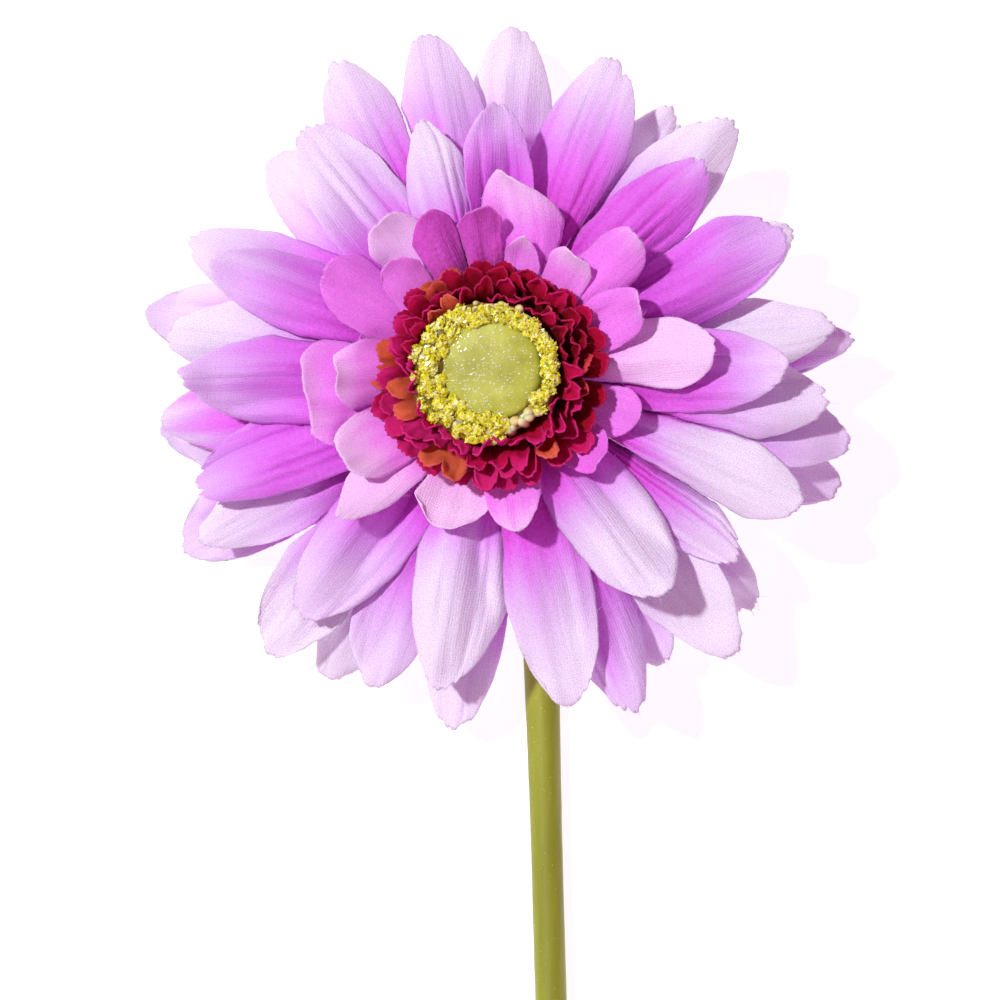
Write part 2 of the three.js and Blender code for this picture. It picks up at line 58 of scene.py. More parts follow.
# %% [markdown]
# ## The head's own frame
# The head leans six degrees to the left of the picture. It is far easier to shape petals round
# an upright axis, so every head piece is made in the head's own millimetres, with clock bearings
# seen from above, and one matrix then carries it to its place. The matrix comes from the green
# disc's box: the disc is round, so its middle and its widest ring fix the axis.

# %% The head's frame
LEAN = math.radians(6)
HUB_HEIGHT = 20.5  # table to the top of the calyx
DISC_RADIUS = 7.2
DISC_WIDEST = 14.1  # height on the axis where the disc is still at its full radius
EAST, NORTH, UP = Vector((1, 0, 0)), Vector((0, 1, 0)), Vector((0, 0, 1))
disc_low, disc_high = (Vector(corner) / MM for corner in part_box("centre_disc"))
HUB = Vector((
    disc_low.x + DISC_RADIUS * math.cos(LEAN) + DISC_WIDEST * math.sin(LEAN),
    (disc_low.y + disc_high.y) / 2,
    HUB_HEIGHT,
))
HEAD = Matrix.Translation(HUB) @ Matrix.Rotation(-LEAN, 4, "Y")
print("top of the calyx, mm:", [round(x, 2) for x in HUB])


def placed(points):
    """Points of the head's frame, in the part's frame."""
    return [HEAD @ point for point in points]


def outward_at(angle):
    return Vector((math.sin(angle), math.cos(angle), 0))


def bearing_frame(bearing):
    """The level directions outwards and aside at a bearing, in degrees from the top, clockwise."""
    angle = math.radians(bearing)
    return outward_at(angle), Vector((math.cos(angle), -math.sin(angle), 0))

# %% [markdown]
# ## The camera
# The photograph looks the flower in the face. The flower lies on its back, so the camera hangs
# above it and looks straight down, with the stem towards the bottom of the picture. A long lens
# from half a metre keeps the petals from spreading, as in the photograph.

# %% Camera
PICTURE = 1000  # pixels each way
DISC_IN_PICTURE = (490, 370)  # the disc's middle
MM_PER_PIXEL = 0.155  # in the plane of the upper petals
HEAD_PLANE = 30
CAMERA_ABOVE = 580
SENSOR = 36
scene = bpy.context.scene
eye = bpy.data.objects.new("eye", bpy.data.cameras.new("eye"))
scene.collection.objects.link(eye)
disc_middle = HEAD @ Vector((0, 0, DISC_WIDEST))
eye.location = MM * Vector((
    disc_middle.x + (PICTURE / 2 - DISC_IN_PICTURE[0]) * MM_PER_PIXEL,
    disc_middle.y - (PICTURE / 2 - DISC_IN_PICTURE[1]) * MM_PER_PIXEL,
    HEAD_PLANE + CAMERA_ABOVE,
))
eye.data.sensor_width = SENSOR
eye.data.lens = SENSOR * CAMERA_ABOVE / (MM_PER_PIXEL * PICTURE)
eye.data.clip_start = 0.01
bpy.context.scene.camera = eye
print("lens:", round(eye.data.lens, 1), "mm")

# %% [markdown]
# ## Helpers for materials
# A material here is a small graph of nodes that ends in one Principled shader. These helpers keep
# the graphs short to read: colours are written as they show on a screen, a ramp is a list of
# stops, and a node is made with its settings in one call. What is the same all over a surface,
# such as sheen, is set on the shader's own socket.

# %% Material helpers
WHITE = (255, 255, 255)
BLACK = (0, 0, 0)


def shown(red, green, blue):
    """A colour as a screen shows it, 0 to 255, as the light values that nodes want."""
    def light(value):
        value /= 255
        return value / 12.92 if value <= 0.04045 else ((value + 0.055) / 1.055) ** 2.4
    return (light(red), light(green), light(blue), 1)


class Finish:
    """A material under construction, with its Principled shader ready."""

    def __init__(self, name, **sockets):
        self.material = bpy.data.materials.new(name)
        self.material.use_nodes = True
        self.tree = self.material.node_tree
        self.shader = self.tree.nodes["Principled BSDF"]
        for socket, value in sockets.items():
            self.set(socket.replace("_", " "), value)

    def node(self, kind, links=(), **settings):
        made = self.tree.nodes.new("ShaderNode" + kind)
        for setting, value in settings.items():
            setattr(made, setting, value)
        for socket, source in dict(links).items():
            self.feed(source, made.inputs[socket])
        return made

    def feed(self, source, socket):
        if isinstance(source, bpy.types.NodeSocket):
            self.tree.links.new(source, socket)
        else:
            socket.default_value = source

    def set(self, socket, source):
        self.feed(source, self.shader.inputs[socket])

    def math(self, operation, first, second=0.0):
        return self.node("Math", {0: first, 1: second}, operation=operation).outputs[0]

    def plus(self, first, second, times):
        """The first value and so many times the second."""
        return self.math("ADD", first, self.math("MULTIPLY", second, times))

    def stirred(self, value, noise_value, swing):
        """A value that a noise lifts and lowers, by half the swing at most."""
        return self.plus(value, self.math("SUBTRACT", noise_value, 0.5), swing)

    def attribute(self, name):
        return self.node("Attribute", attribute_name=name).outputs["Vector"]

    def parts(self, vector):
        split = self.node("SeparateXYZ", {0: vector})
        return [split.outputs[axis] for axis in "XYZ"]

    def place(self):
        return self.node("TexCoord").outputs["Object"]

    def noise(self, vector, scale, detail=2.0):
        links = {"Vector": vector, "Scale": scale, "Detail": detail}
        return self.node("TexNoise", links).outputs["Fac"]

    def ramp(self, value, *stops):
        """Colours by value. A stop is a place from 0 to 1 and a colour as a screen shows it."""
        made = self.node("ValToRGB", {0: value})
        elements = made.color_ramp.elements
        elements.remove(elements[1])
        for place, colour in stops[1:]:
            elements.new(place).color = shown(*colour)
        elements[0].position = stops[0][0]
        elements[0].color = shown(*stops[0][1])
        return made.outputs["Color"]

    def mix(self, share, first, second, blend="MIX"):
        made = self.node("Mix", data_type="RGBA", blend_type=blend)
        for socket, source in ((0, share), (6, first), (7, second)):
            self.feed(source, made.inputs[socket])
        return made.outputs[2]

    def bump(self, height, metres, under=None):
        links = {"Height": height, "Distance": metres}
        if under:
            links["Normal"] = under
        return self.node("Bump", links).outputs["Normal"]


def clouded(name, clouds, tones, bumps=None, **sockets):
    """A finish with clouds of colour: a noise's scale and detail, and for bumps their depth too."""
    finish = Finish(name, **sockets)
    place = finish.place()
    finish.set("Base Color", finish.ramp(finish.noise(place, *clouds), *tones))
    if bumps:
        scale, detail, metres = bumps
        finish.set("Normal", finish.bump(finish.noise(place, scale, detail), metres))
    return finish.material

# %% [markdown]
# ## Floor and light
# One hard lamp stands up on the left, because the photograph's petals throw crisp shadows to the
# right. Those shadows are pink there, not grey: light reaches them through the pink cloth all
# round. Following it through hundreds of thin layers would take very long, so a pink lamp as wide
# as the sky stands for it. A broad and weak lamp low in the picture lights the petals there. The
# flower lies on a light table, as cut-out product pictures are often taken on one: a white sheet
# that glows, so the floor shows hardly any shadow. The standard view transform keeps the pinks as
# bright as they are; a filmic one would grey them.

# %% Floor and light
scene.view_settings.view_transform = "Standard"
scene.view_settings.look = "None"

bpy.ops.mesh.primitive_plane_add(size=4)
table = bpy.context.object
table.name = "table"
white_sheet = Finish("white_sheet", Base_Color=(0.6, 0.6, 0.6, 1), Roughness=0.9,
                     Emission_Color=(1, 1, 1, 1), Emission_Strength=0.77)
table.data.materials.append(white_sheet.material)


def lamp(name, kind, power, colour, stands=(0, 0, 1)):
    """A lamp that shines at the middle of the table from where it stands, in metres."""
    made = bpy.data.objects.new(name, bpy.data.lights.new(name, kind))
    scene.collection.objects.link(made)
    made.location = stands
    made.rotation_euler = made.location.to_track_quat("Z", "Y").to_euler()
    made.data.energy = power
    made.data.color = colour
    return made.data


lamp("key", "SUN", 2.8, (0.93, 1, 0.99), (-0.6, 0.34, 1.1)).angle = math.radians(3.5)
lamp("fill", "AREA", 3.2, (1, 0.84, 0.98), (0.3, -0.6, 0.9)).size = 1.2
lamp("glow", "SUN", 0.76, (1, 0.36, 0.86)).angle = math.radians(175)

world = bpy.data.worlds.new("pale_room")
world.use_nodes = True
world.node_tree.nodes["Background"].inputs["Color"].default_value = (1, 1, 1, 1)
world.node_tree.nodes["Background"].inputs["Strength"].default_value = 0.03
scene.world = world
print("lamps:", [thing.name for thing in scene.objects if thing.type == "LIGHT"])

# %% [markdown]
# ## The woven cloth
# Up close the petals show a plain weave, five threads to every two millimetres. A texture laid
# flat on the picture would slide off the bends, so every cloth vertex remembers its place on the
# flat cloth, in millimetres, and the weave is drawn there. Two sine waves make the threads of
# each way, and a slow noise lets them wander. Spun thread is never even, so a fine grain lies
# over them, and a bump turns both into light and shade. The dye is painted on top: two ramps of
# colour, mixed by what each vertex carries. Light is painted in with it: painted shade between
# the threads and a painted highlight on their tops, and a paler cut edge, where pale loose
# fibres are given a painted highlight as they catch the light.

# %% The weave and the dye
THREAD = 0.4  # millimetres from one thread to the next
WEAVE_DEPTH = 0.000012  # metres
GRAIN = 7.0  # how much stronger the grain is than the threads


def weave(finish):
    """The bumps of the threads, a level that is high on top of them, and a slow unevenness."""
    place = finish.attribute("cloth")
    warp, weft, _ = finish.parts(place)
    stray = finish.math("MULTIPLY", finish.noise(place, 0.3, 2.0), 1.2)
    waves = []
    for way in (warp, weft):
        wandered = finish.math("MULTIPLY", finish.math("ADD", way, stray), 2 * math.pi / THREAD)
        waves.append(finish.math("SINE", wandered))
    threads = finish.plus(waves[0], waves[1], 0.7)
    grain = finish.noise(place, 4.5, 3.0)
    slub = finish.noise(place, 1.6, 3.0)
    height = finish.plus(threads, grain, GRAIN)
    return finish.bump(height, WEAVE_DEPTH), finish.plus(grain, threads, 0.04), slub


def dye_cloth(finish, main, other, patchy, painted_hollow_shade, tops, fibre_highlight, fibre_highlight_share):
    """Colours the cloth from its notes, and returns the bumps of its weave."""
    along, other_share, edge = finish.parts(finish.attribute("dye"))
    normal, level, slub = weave(finish)
    patches = finish.stirred(along, slub, patchy)
    dyed = finish.mix(other_share, finish.ramp(patches, *main), finish.ramp(patches, *other))
    # Painted shade between the threads and a painted highlight on their tops: darker where the weave's
    # level is low, white where it is high.
    woven = finish.mix(1.0, dyed, finish.ramp(level, painted_hollow_shade, tops), "MULTIPLY")
    # Paler at the cut edge: the colour of pale loose fibres, with a painted highlight where they catch
    # the light.
    at_edge = finish.math("MULTIPLY", edge, fibre_highlight_share)
    finish.set("Base Color", finish.mix(at_edge, woven, shown(*fibre_highlight)))
    return normal


print("threads to the centimetre:", round(10 / THREAD))

# %% [markdown]
# ## The petals' dye
# The cloth is white. Dye is brushed on from the root, so each petal is deep orchid at its root,
# fades over its middle, and ends almost white. Some petals are dyed violet all the way, and the
# short ones in the middle are rosier, so they get a cloth of their own. Each vertex carries how
# far the dye has faded there, darkened by painted shade in the creases and at the roots of the
# short petals with the highest fades, how violet its petal is, and how near the cut edge it lies.
# The press also leaves faint pleats along a petal, far finer than its grid, so they go in the bump.
# A little subsurface light softens the cloth, which is too thin to be quite solid to light.

# %% Petal cloth
ORCHID = [
    (0.0, (208, 40, 186)),
    (0.2, (231, 104, 231)),
    (0.4, (231, 153, 240)),
    (0.6, (233, 194, 243)),
    (0.8, (239, 221, 246)),
    (1.0, (247, 241, 251)),
]
# The rose's first, darkest stop is painted shade; only short petals with the highest fades reach it.
ROSE = [
    (0.0, (172, 28, 132)),
    (0.2, (242, 104, 234)),
    (0.4, (250, 148, 248)),
    (0.6, (254, 190, 252)),
    (1.0, (255, 232, 254)),
]
VIOLET = [(0.0, (200, 60, 204)), (0.2, (228, 118, 238)), (0.6, (226, 156, 243)), (1.0, (232, 192, 247))]
PLEAT_DEPTH = 0.00022


def pleats(finish, normal):
    """Faint pressed lines along the petal, under the weave."""
    across, along, _ = finish.parts(finish.attribute("cloth"))
    links = {0: finish.math("MULTIPLY", across, 0.9), 1: finish.math("MULTIPLY", along, 0.05)}
    lines = finish.node("CombineXYZ", links).outputs[0]
    return finish.bump(finish.noise(lines, 1.0, 2.0), PLEAT_DEPTH, normal)


def petal_cloth(name, tones):
    finish = Finish(name, Roughness=0.85, Sheen_Weight=0.06, Sheen_Roughness=0.5,
                    Subsurface_Weight=0.15, Subsurface_Radius=(1.0, 0.6, 0.9), Subsurface_Scale=0.0004)
    # The hollow and top colours paint shade between the threads and a highlight on their tops.
    normal = dye_cloth(finish, tones, VIOLET, patchy=0.2, painted_hollow_shade=(0.2, (226, 200, 228)),
                       tops=(0.62, WHITE), fibre_highlight=(244, 226, 248), fibre_highlight_share=0.1)
    finish.set("Normal", pleats(finish, normal))
    return finish.material


PETAL_CLOTH = petal_cloth("petal_cloth", ORCHID)
SMALL_CLOTH = petal_cloth("small_petal_cloth", ROSE)
print("made", PETAL_CLOTH.name, "and", SMALL_CLOTH.name)

# %% [markdown]
# ## The cut of a petal
# The next cells repeat the construction's own formula for a petal, because the finished cloth has
# to lie where the solid lies. A petal leaves its sheet's round middle, and its slope changes with
# the square of the way along, so it bends most near its tip. It is narrow at the root, widest
# past the middle and blunt at the end, and it stops at a slit where its neighbour begins.

# %% The petals' measures
PETAL_ROOT = 11.0
SMALL_ROOT = 10.8
FIRST_PLATE = 0.3  # from the calyx to the first solid sheet
PLATE = 0.7  # thickness of a solid sheet
PITCH = 1.1  # from one sheet to the next
SLIT = 0.4  # between two petals of a sheet
SPIKE_HOLE = 1.9
CLOTH = 0.18  # thickness of the real cloth, stiffened
WIDEST = 0.55  # where a petal is widest, as a share of its length

# Bearing and roll in degrees, reach and width in millimetres, lift in steps of three degrees.
# Then how far up the dye goes, how violet it is, and how strongly the petal is pressed. The
# last ones are set on some petals only: how high the edges stand above the middle, how pointed
# the end is, how far the tip is swept aside, and how high its rim is turned up.
# On a short petal a fade above 1.3 also paints the root darker, as painted shade.
Petal = namedtuple("Petal", "bearing reach width lift roll fade violet ribs cup point sweep rim",
                   defaults=(None, 0.13, 0, 0))
Sheet = namedtuple("Sheet", "name node slopes petals")
SHEETS = [
    Sheet("petal_cloth_1", "petal_sheet_1", (-6, -44), [
        Petal(1, 55, 14, 2, 0, 0.64, 0.1, 0.5, point=0.10),
        Petal(33, 50, 13, 1, -4, 0.68, 0.1, 0.8),
        Petal(64, 51, 13, 0, 3, 0.50, 0.0, 0.7),
        Petal(85, 55, 12, 3, -5, 0.85, 0.2, 0.7, point=0.18),
        Petal(109, 57, 14, 4, 4, 0.70, 0.4, 0.4),
        Petal(133, 55, 13, 4, 0, 0.74, 0.2, 0.7),
        Petal(152, 53, 13, 1, 4, 0.85, 0.2, 0.8, cup=1.3),
        Petal(189, 57, 14, 3, -3, 0.70, 0.1, 0.6),
        Petal(211, 57, 14, 0, 5, 0.62, 0.1, 0.6),
        Petal(243, 60, 15, -8, -2, 0.74, 0.2, 0.4),
        Petal(261, 60, 15, -8, 0, 0.66, 0.3, 0.4),
        Petal(280, 60, 14, -6, 2, 0.62, 0.3, 0.5),
        Petal(313, 54, 14, 1, -3, 0.60, 0.2, 0.6),
    ]),
    Sheet("petal_cloth_2", "petal_sheet_2", (-2, -26), [
        Petal(347, 56, 14, 0, 3, 0.72, 0.3, 0.5, cup=-1.4),
        Petal(20, 53, 15, 1, -4, 0.76, 0.2, 0.9, cup=-1.8),
        Petal(42, 54, 14, 0, 4, 0.62, 0.0, 0.9),
        Petal(82, 53, 13, 0, -4, 0.48, 0.0, 0.8, point=0.16),
        Petal(101, 57, 14, 2, 3, 0.75, 0.4, 0.5),
        Petal(140, 57, 15, 0, -5, 0.56, 0.0, 0.5),
        Petal(159, 57, 14, 1, 3, 0.85, 0.4, 1.2),
        Petal(204, 55, 14, 0, 4, 0.74, 0.2, 0.5),
        Petal(221, 59, 15, 1, -3, 0.64, 0.0, 0.6, cup=1.2),
        Petal(241, 55, 13, 0, 3, 0.70, 0.1, 0.4),
        Petal(262, 56, 14, -1, 2, 0.96, 0.0, 0.4),
        Petal(293, 55, 14, 0, -4, 0.74, 0.1, 0.8),
        Petal(331, 56, 15, 1, 3, 0.76, 0.1, 0.8, cup=-1.3),
    ]),
    Sheet("petal_cloth_3", "petal_sheet_3", (2, -10), [
        Petal(45, 46, 13, 0, 5, 1.05, 0.3, 1.4),
        Petal(64, 50, 15, 1, -3, 0.90, 0.7, 1.0),
        Petal(96, 52, 14, 0, 3, 0.68, 0.2, 0.6),
        Petal(114, 52, 14, 1, -4, 0.46, 0.0, 0.5),
        Petal(128, 48, 11, 0, 9, 0.75, 0.2, 1.5),
        Petal(167, 54, 14, 1, -4, 0.60, 0.1, 0.4),
        Petal(190, 51, 15, 0, 3, 0.42, 0.1, 0.8, point=0.15),
        Petal(219, 50, 14, 0, -5, 0.66, 0.5, 0.9, cup=-1.6),
        Petal(250, 52, 13, 1, 4, 0.92, 0.8, 1.1),
        Petal(277, 53, 14, 0, -3, 0.60, 0.0, 0.7),
        Petal(321, 50, 14, 0, 4, 0.60, 0.2, 1.5, cup=-1.4),
    ]),
    Sheet("petal_cloth_4", "petal_sheet_4", (6, 4), [
        Petal(343, 41, 12, 0, 4, 0.62, 0.1, 1.3, cup=-1.6, point=0.20),
        Petal(0, 42, 12, 1, -4, 0.88, 0.5, 1.2, cup=-1.6, point=0.16),
        Petal(90, 46, 13, 0, 4, 0.82, 0.4, 0.7),
        Petal(143, 44, 14, 1, -4, 0.46, 0.1, 1.0),
        Petal(268, 50, 14, 0, 3, 0.78, 0.7, 1.2, point=0.16),
        Petal(291, 48, 12, 1, -3, 0.80, 0.5, 0.9),
    ]),
    Sheet("small_petal_cloth_1", "small_petal_sheet_1", (8, 48), [
        Petal(85, 35, 12, -8, 3, 0.32, 0.0, 0.7, cup=-1.0),
        Petal(48, 31, 9, 0, 8, 1.05, 0.0, 1.2, cup=-1.5),
        Petal(17, 29, 14, 0, -6, 0.85, 0.0, 0.8, sweep=-6.0, cup=-1.4),
        Petal(323, 29, 11, 0, 4, 0.50, 0.1, 0.7, cup=-1.0),
        Petal(301, 31, 12, -3, -4, 1.35, 0.1, 0.9, point=0.18),
        Petal(262, 29, 18, 1, 4, 1.00, 0.0, 0.8, point=0.06, rim=-0.6, cup=-1.0),
        Petal(227, 33, 9, -3, -4, 0.50, 0.0, 0.9, point=0.22),
        Petal(199, 25, 13, 0, 5, 0.60, 0.0, 0.6, cup=1.6),
        Petal(108, 24, 9, -2, -4, 1.30, 0.1, 0.7, point=0.2),
    ]),
    Sheet("small_petal_cloth_2", "small_petal_sheet_2", (12, 60), [
        Petal(355, 25, 9, 0, 5, 1.60, 0.0, 1.2, cup=-1.2),
        Petal(14, 21, 7, 0, 5, 0.95, 0.0, 0.8, cup=-0.5, point=0.3),
        Petal(37, 22, 8, 0, -6, 0.85, 0.0, 0.6, point=0.1),
        Petal(67, 25, 9, 0, 6, 1.12, 0.1, 1.2, cup=-1.2),
        Petal(130, 22, 8, 0, -4, 1.45, 0.1, 0.7),
        Petal(316, 23, 8, -3, 4, 1.30, 0.0, 0.7, cup=-0.8),
        Petal(337, 26, 9, -1, -5, 1.60, 0.0, 0.9, point=0.2),
        Petal(268, 24, 11, 0, 4, 0.90, 0.0, 0.6, cup=-1.8, point=0.1),
        Petal(239, 27, 11, -4, -5, 0.75, 0.0, 0.5, cup=-1.6, point=0.1),
        Petal(171, 25, 9, -4, 4, 0.90, 0.1, 0.9, point=0.18),
    ]),
]
print(sum(len(sheet.petals) for sheet in SHEETS), "petals on", len(SHEETS), "sheets")

# %% The middle line and the outline of a petal
def smooth(value, low, high):
    """0 up to the low value, 1 from the high one on, and a soft rise between them."""
    share = min(max((value - low) / (high - low), 0), 1)
    return share * share * (3 - 2 * share)


class Spine:
    """The middle line of a petal, in its own upright plane: radius, height and slope."""

    STEPS = 32

    def __init__(self, root, height, length, slopes, power=2):
        self.slopes, self.power = slopes, power
        self.line = [(root, height)]
        for i in range(self.STEPS):
            slope = self.slope((i + 0.5) / self.STEPS)
            radius, up = self.line[-1]
            step = length / self.STEPS
            self.line.append((radius + step * math.cos(slope), up + step * math.sin(slope)))

    def slope(self, t):
        first, last = self.slopes
        return math.radians(first + (last - first) * t ** self.power)

    def at(self, t):
        place = min(max(t, 0), 1) * self.STEPS
        i = min(int(place), self.STEPS - 1)
        share = place - i
        return [(1 - share) * a + share * b for a, b in zip(self.line[i], self.line[i + 1])]

    def over(self, t, outward):
        """The spot of the middle line that lies a share along, and the way up from the cloth."""
        radius, up = self.at(t)
        slope = self.slope(t)
        return outward * radius + UP * up, UP * math.cos(slope) - outward * math.sin(slope)


def half_width(petal, t):
    if t < WIDEST:
        return petal.width / 2 * (0.4 + 0.6 * math.sin(math.pi / 2 * t / WIDEST))
    taper = 0.6 + 1.8 * (petal.point - 0.08)
    return petal.width / 2 * math.sqrt(1 - taper * ((t - WIDEST) / (1 - WIDEST)) ** 3)


def room_beside(bearing, bearings):
    """Half angles to the neighbours before and after, in radians."""
    steps = [(other - bearing) % 360 for other in bearings if other != bearing]
    return math.radians((360 - max(steps)) / 2), math.radians(min(steps) / 2)

# %% [markdown]
# ## Rings and grids
# Every piece is built of two kinds of form. One is a row of rings of spots joined by faces, such
# as a peg, a flake, a tube or a turned cushion. The other is a thin sheet on a grid of spots. Two
# short builders make the faces of both, with their fronts outwards, and a third makes the object
# and says where it belongs.

# %% Builders
def spots_round(middle, across, beside, sides, turn=0.0):
    """Spots on a circle or an oval, from its middle and the two ways across it."""
    angles = [turn + 2 * math.pi * k / sides for k in range(sides)]
    return [middle + across * math.cos(angle) + beside * math.sin(angle) for angle in angles]


def loft(points, faces, rings, closed=False, clockwise=False):
    """Joins rings of spots with faces. A ring of one spot is a tip, and open ends are capped.

    Rings that run clockwise, seen from the last one, need their faces turned over.
    """
    numbers = []
    for ring in rings:
        numbers.append([len(points) + k for k in range(len(ring))])
        points += ring
    made = []
    for low, high in zip(numbers, numbers[1:] + (numbers[:1] if closed else [])):
        for k in range(max(len(low), len(high))):
            corners = [low[k % len(low)], low[(k + 1) % len(low)]]
            corners += [high[(k + 1) % len(high)], high[k % len(high)]]
            made.append(list(dict.fromkeys(corners)))
    if not closed:
        made += [cap for cap in (numbers[0][::-1], numbers[-1]) if len(cap) > 2]
    faces += [face[::-1] for face in made] if clockwise else made


def skin(rows, columns, start, flip=False):
    """Quads over a grid of vertices that starts at a number."""
    for i in range(rows - 1):
        for j in range(columns - 1):
            first = start + i * columns + j
            quad = [first, first + 1, first + columns + 1, first + columns]
            yield quad[::-1] if flip else quad


def sheet_faces(rows, columns, start):
    """Faces of a thin closed sheet: its upper skin, its lower skin and the rim between them."""
    count = rows * columns
    rim = [(i, 0) for i in range(rows - 1, 0, -1)] + [(0, j) for j in range(columns - 1)]
    rim += [(i, columns - 1) for i in range(rows - 1)]
    rim += [(rows - 1, j) for j in range(columns - 1, 0, -1)]
    rim = [start + i * columns + j for i, j in rim]
    yield from skin(rows, columns, start)
    yield from skin(rows, columns, start + count, flip=True)
    for here, there in zip(rim, rim[1:] + rim[:1]):
        yield [here, here + count, there + count, there]


def make_piece(name, points, faces, material, nodes, smooth_shaded=True):
    """A mesh object from points in the part's own millimetres, riding on the flower."""
    mesh = bpy.data.meshes.new(name)
    mesh.from_pydata([point * MM for point in points], [], faces)
    mesh.materials.append(material)
    if smooth_shaded:
        mesh.shade_smooth()
    piece = bpy.data.objects.new(name, mesh)
    scene.collection.objects.link(piece)
    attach(piece, "root")
    if nodes:
        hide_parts(*nodes)
    print(name, "has", len(faces), "faces")
    return piece


def remember(piece, name, values):
    """Stores a vector on every vertex, for the material to read."""
    layer = piece.data.attributes.new(name, "FLOAT_VECTOR", "POINT")
    layer.data.foreach_set("vector", [number for value in values for number in value])

# %% [markdown]
# ## From a grid to a sheet of cloth
# Each petal is first a grid of points along its middle surface. Blender's Solidify modifier could
# thicken it, but a sheet of thirteen petals and a round middle needs one closed mesh with the
# same thickness all over and notes on every vertex for the dye and the weave. So a short builder
# lays two skins on the grid, half a thickness above and below, and closes the rim between them.
# Where a petal would reach below the table, its grid is first eased up on to it.

# %% Cloth builder
EASE = 0.3  # how softly the cloth turns on to the table, in millimetres
OFF_TABLE = 0.02
THREAD_RADIUS = 0.03
WASHER_EXTRA = 0.06


def settled(spot):
    """A spot of the head, in the part's frame, eased up on to the table if it is too low."""
    point = HEAD @ spot
    above = point.z - CLOTH / 2 - OFF_TABLE
    point.z += (math.hypot(above, EASE) - above) / 2
    return point


class Cloth:
    """Gathers closed shells into one piece, with notes for the material on each vertex."""

    def __init__(self):
        self.points, self.faces = [], []
        self.cloth, self.dye = [], []
        self.flat_area = 0.0
        self.grids = []  # the middle surface of every petal

    def shell(self, grid, cloth, dye, thickness):
        """A sheet of cloth on a grid of points in the part's frame."""
        rows, columns = len(grid), len(grid[0])
        self.faces += sheet_faces(rows, columns, len(self.points))
        halves = []
        for i in range(rows):
            for j in range(columns):
                along = grid[min(i + 1, rows - 1)][j] - grid[max(i - 1, 0)][j]
                across = grid[i][min(j + 1, columns - 1)] - grid[i][max(j - 1, 0)]
                halves.append((grid[i][j], across.cross(along).normalized() * (thickness / 2)))
        self.points += [middle + half for middle, half in halves]
        self.points += [middle - half for middle, half in halves]
        self.cloth += 2 * [note for row in cloth for note in row]
        self.dye += 2 * [note for row in dye for note in row]

    def washer(self, outer, height, thickness, sides):
        """The sheet's round middle, with the hole for the spike and the deepest dye.

        It is a little thicker than the petals, so that their skins never lie in one plane.
        """
        thickness += WASHER_EXTRA
        rings = []
        for radius, side in ((SPIKE_HOLE, 1), (outer, 1), (outer, -1), (SPIKE_HOLE, -1)):
            flat = spots_round(Vector(), NORTH * radius, EAST * radius, sides)
            self.cloth += [tuple(spot) for spot in flat]
            rings.append(placed(spot + UP * (height + side * thickness / 2) for spot in flat))
        self.dye += [(0, 0, 0)] * len(rings) * sides
        loft(self.points, self.faces, rings, closed=True)
        self.flat_area += math.pi * (outer ** 2 - SPIKE_HOLE ** 2)

    def thread(self, foot, way, length, bend, cloth, dye):
        """One loose thread: a thin three-sided spike, bent at its middle if it is long."""
        across = way.orthogonal().normalized() * THREAD_RADIUS
        beside = way.cross(across).normalized() * THREAD_RADIUS
        levels = [(foot, 1.0)]
        if bend.length > 0:
            levels.append((foot + way * length * 0.5 + bend, 0.8))
        rings = [[middle + across * width, middle + (beside - across * 0.5) * width,
                  middle - (beside + across * 0.5) * width] for middle, width in levels]
        rings.append([foot + way * length + bend * 1.5])
        start = len(self.points)
        loft(self.points, self.faces, rings)
        for point in self.points[start:]:
            point.z = max(point.z, 0)  # no thread sticks into the table
        made = len(self.points) - start
        self.cloth += [cloth] * made
        self.dye += [dye] * made


def add_sheet(name, cloth, material, node, flat, below):
    piece = make_piece(name, cloth.points, cloth.faces, material, [node])
    remember(piece, "cloth", cloth.cloth)
    remember(piece, "dye", cloth.dye)

# %% [markdown]
# ## Pressing and fraying
# A petal is pressed in a hot mould, which leaves deep grooves along it and sets it cupped or
# arched. The cloth between the grooves stays a little wavy, and some tips flick up or down. The
# cut edge frays: the tip is ragged where the grooves end, and loose threads stand out all round.
# Those are geometry, since they show in the outline and in the shadows; only the weave itself is
# left to the bump. A cloth simulation would not find the grooves, as they come from the mould.
# The short petals in the middle are pressed less deep. Their dye never fades to white, and it
# starts a little paler than that of the long petals, except on those with the highest fade
# numbers: their roots are painted deep magenta as shade.

# %% One pressed petal
Crease = namedtuple("Crease", "place depth width fold end")
LONG_PETAL = 40.0  # millimetres; the tips of shorter petals are less ragged and less curled
WIDE_PETAL = 13.0  # narrower petals are pressed less deep


def groove(v, centre, width):
    return math.exp(-((v - centre) / width) ** 2)


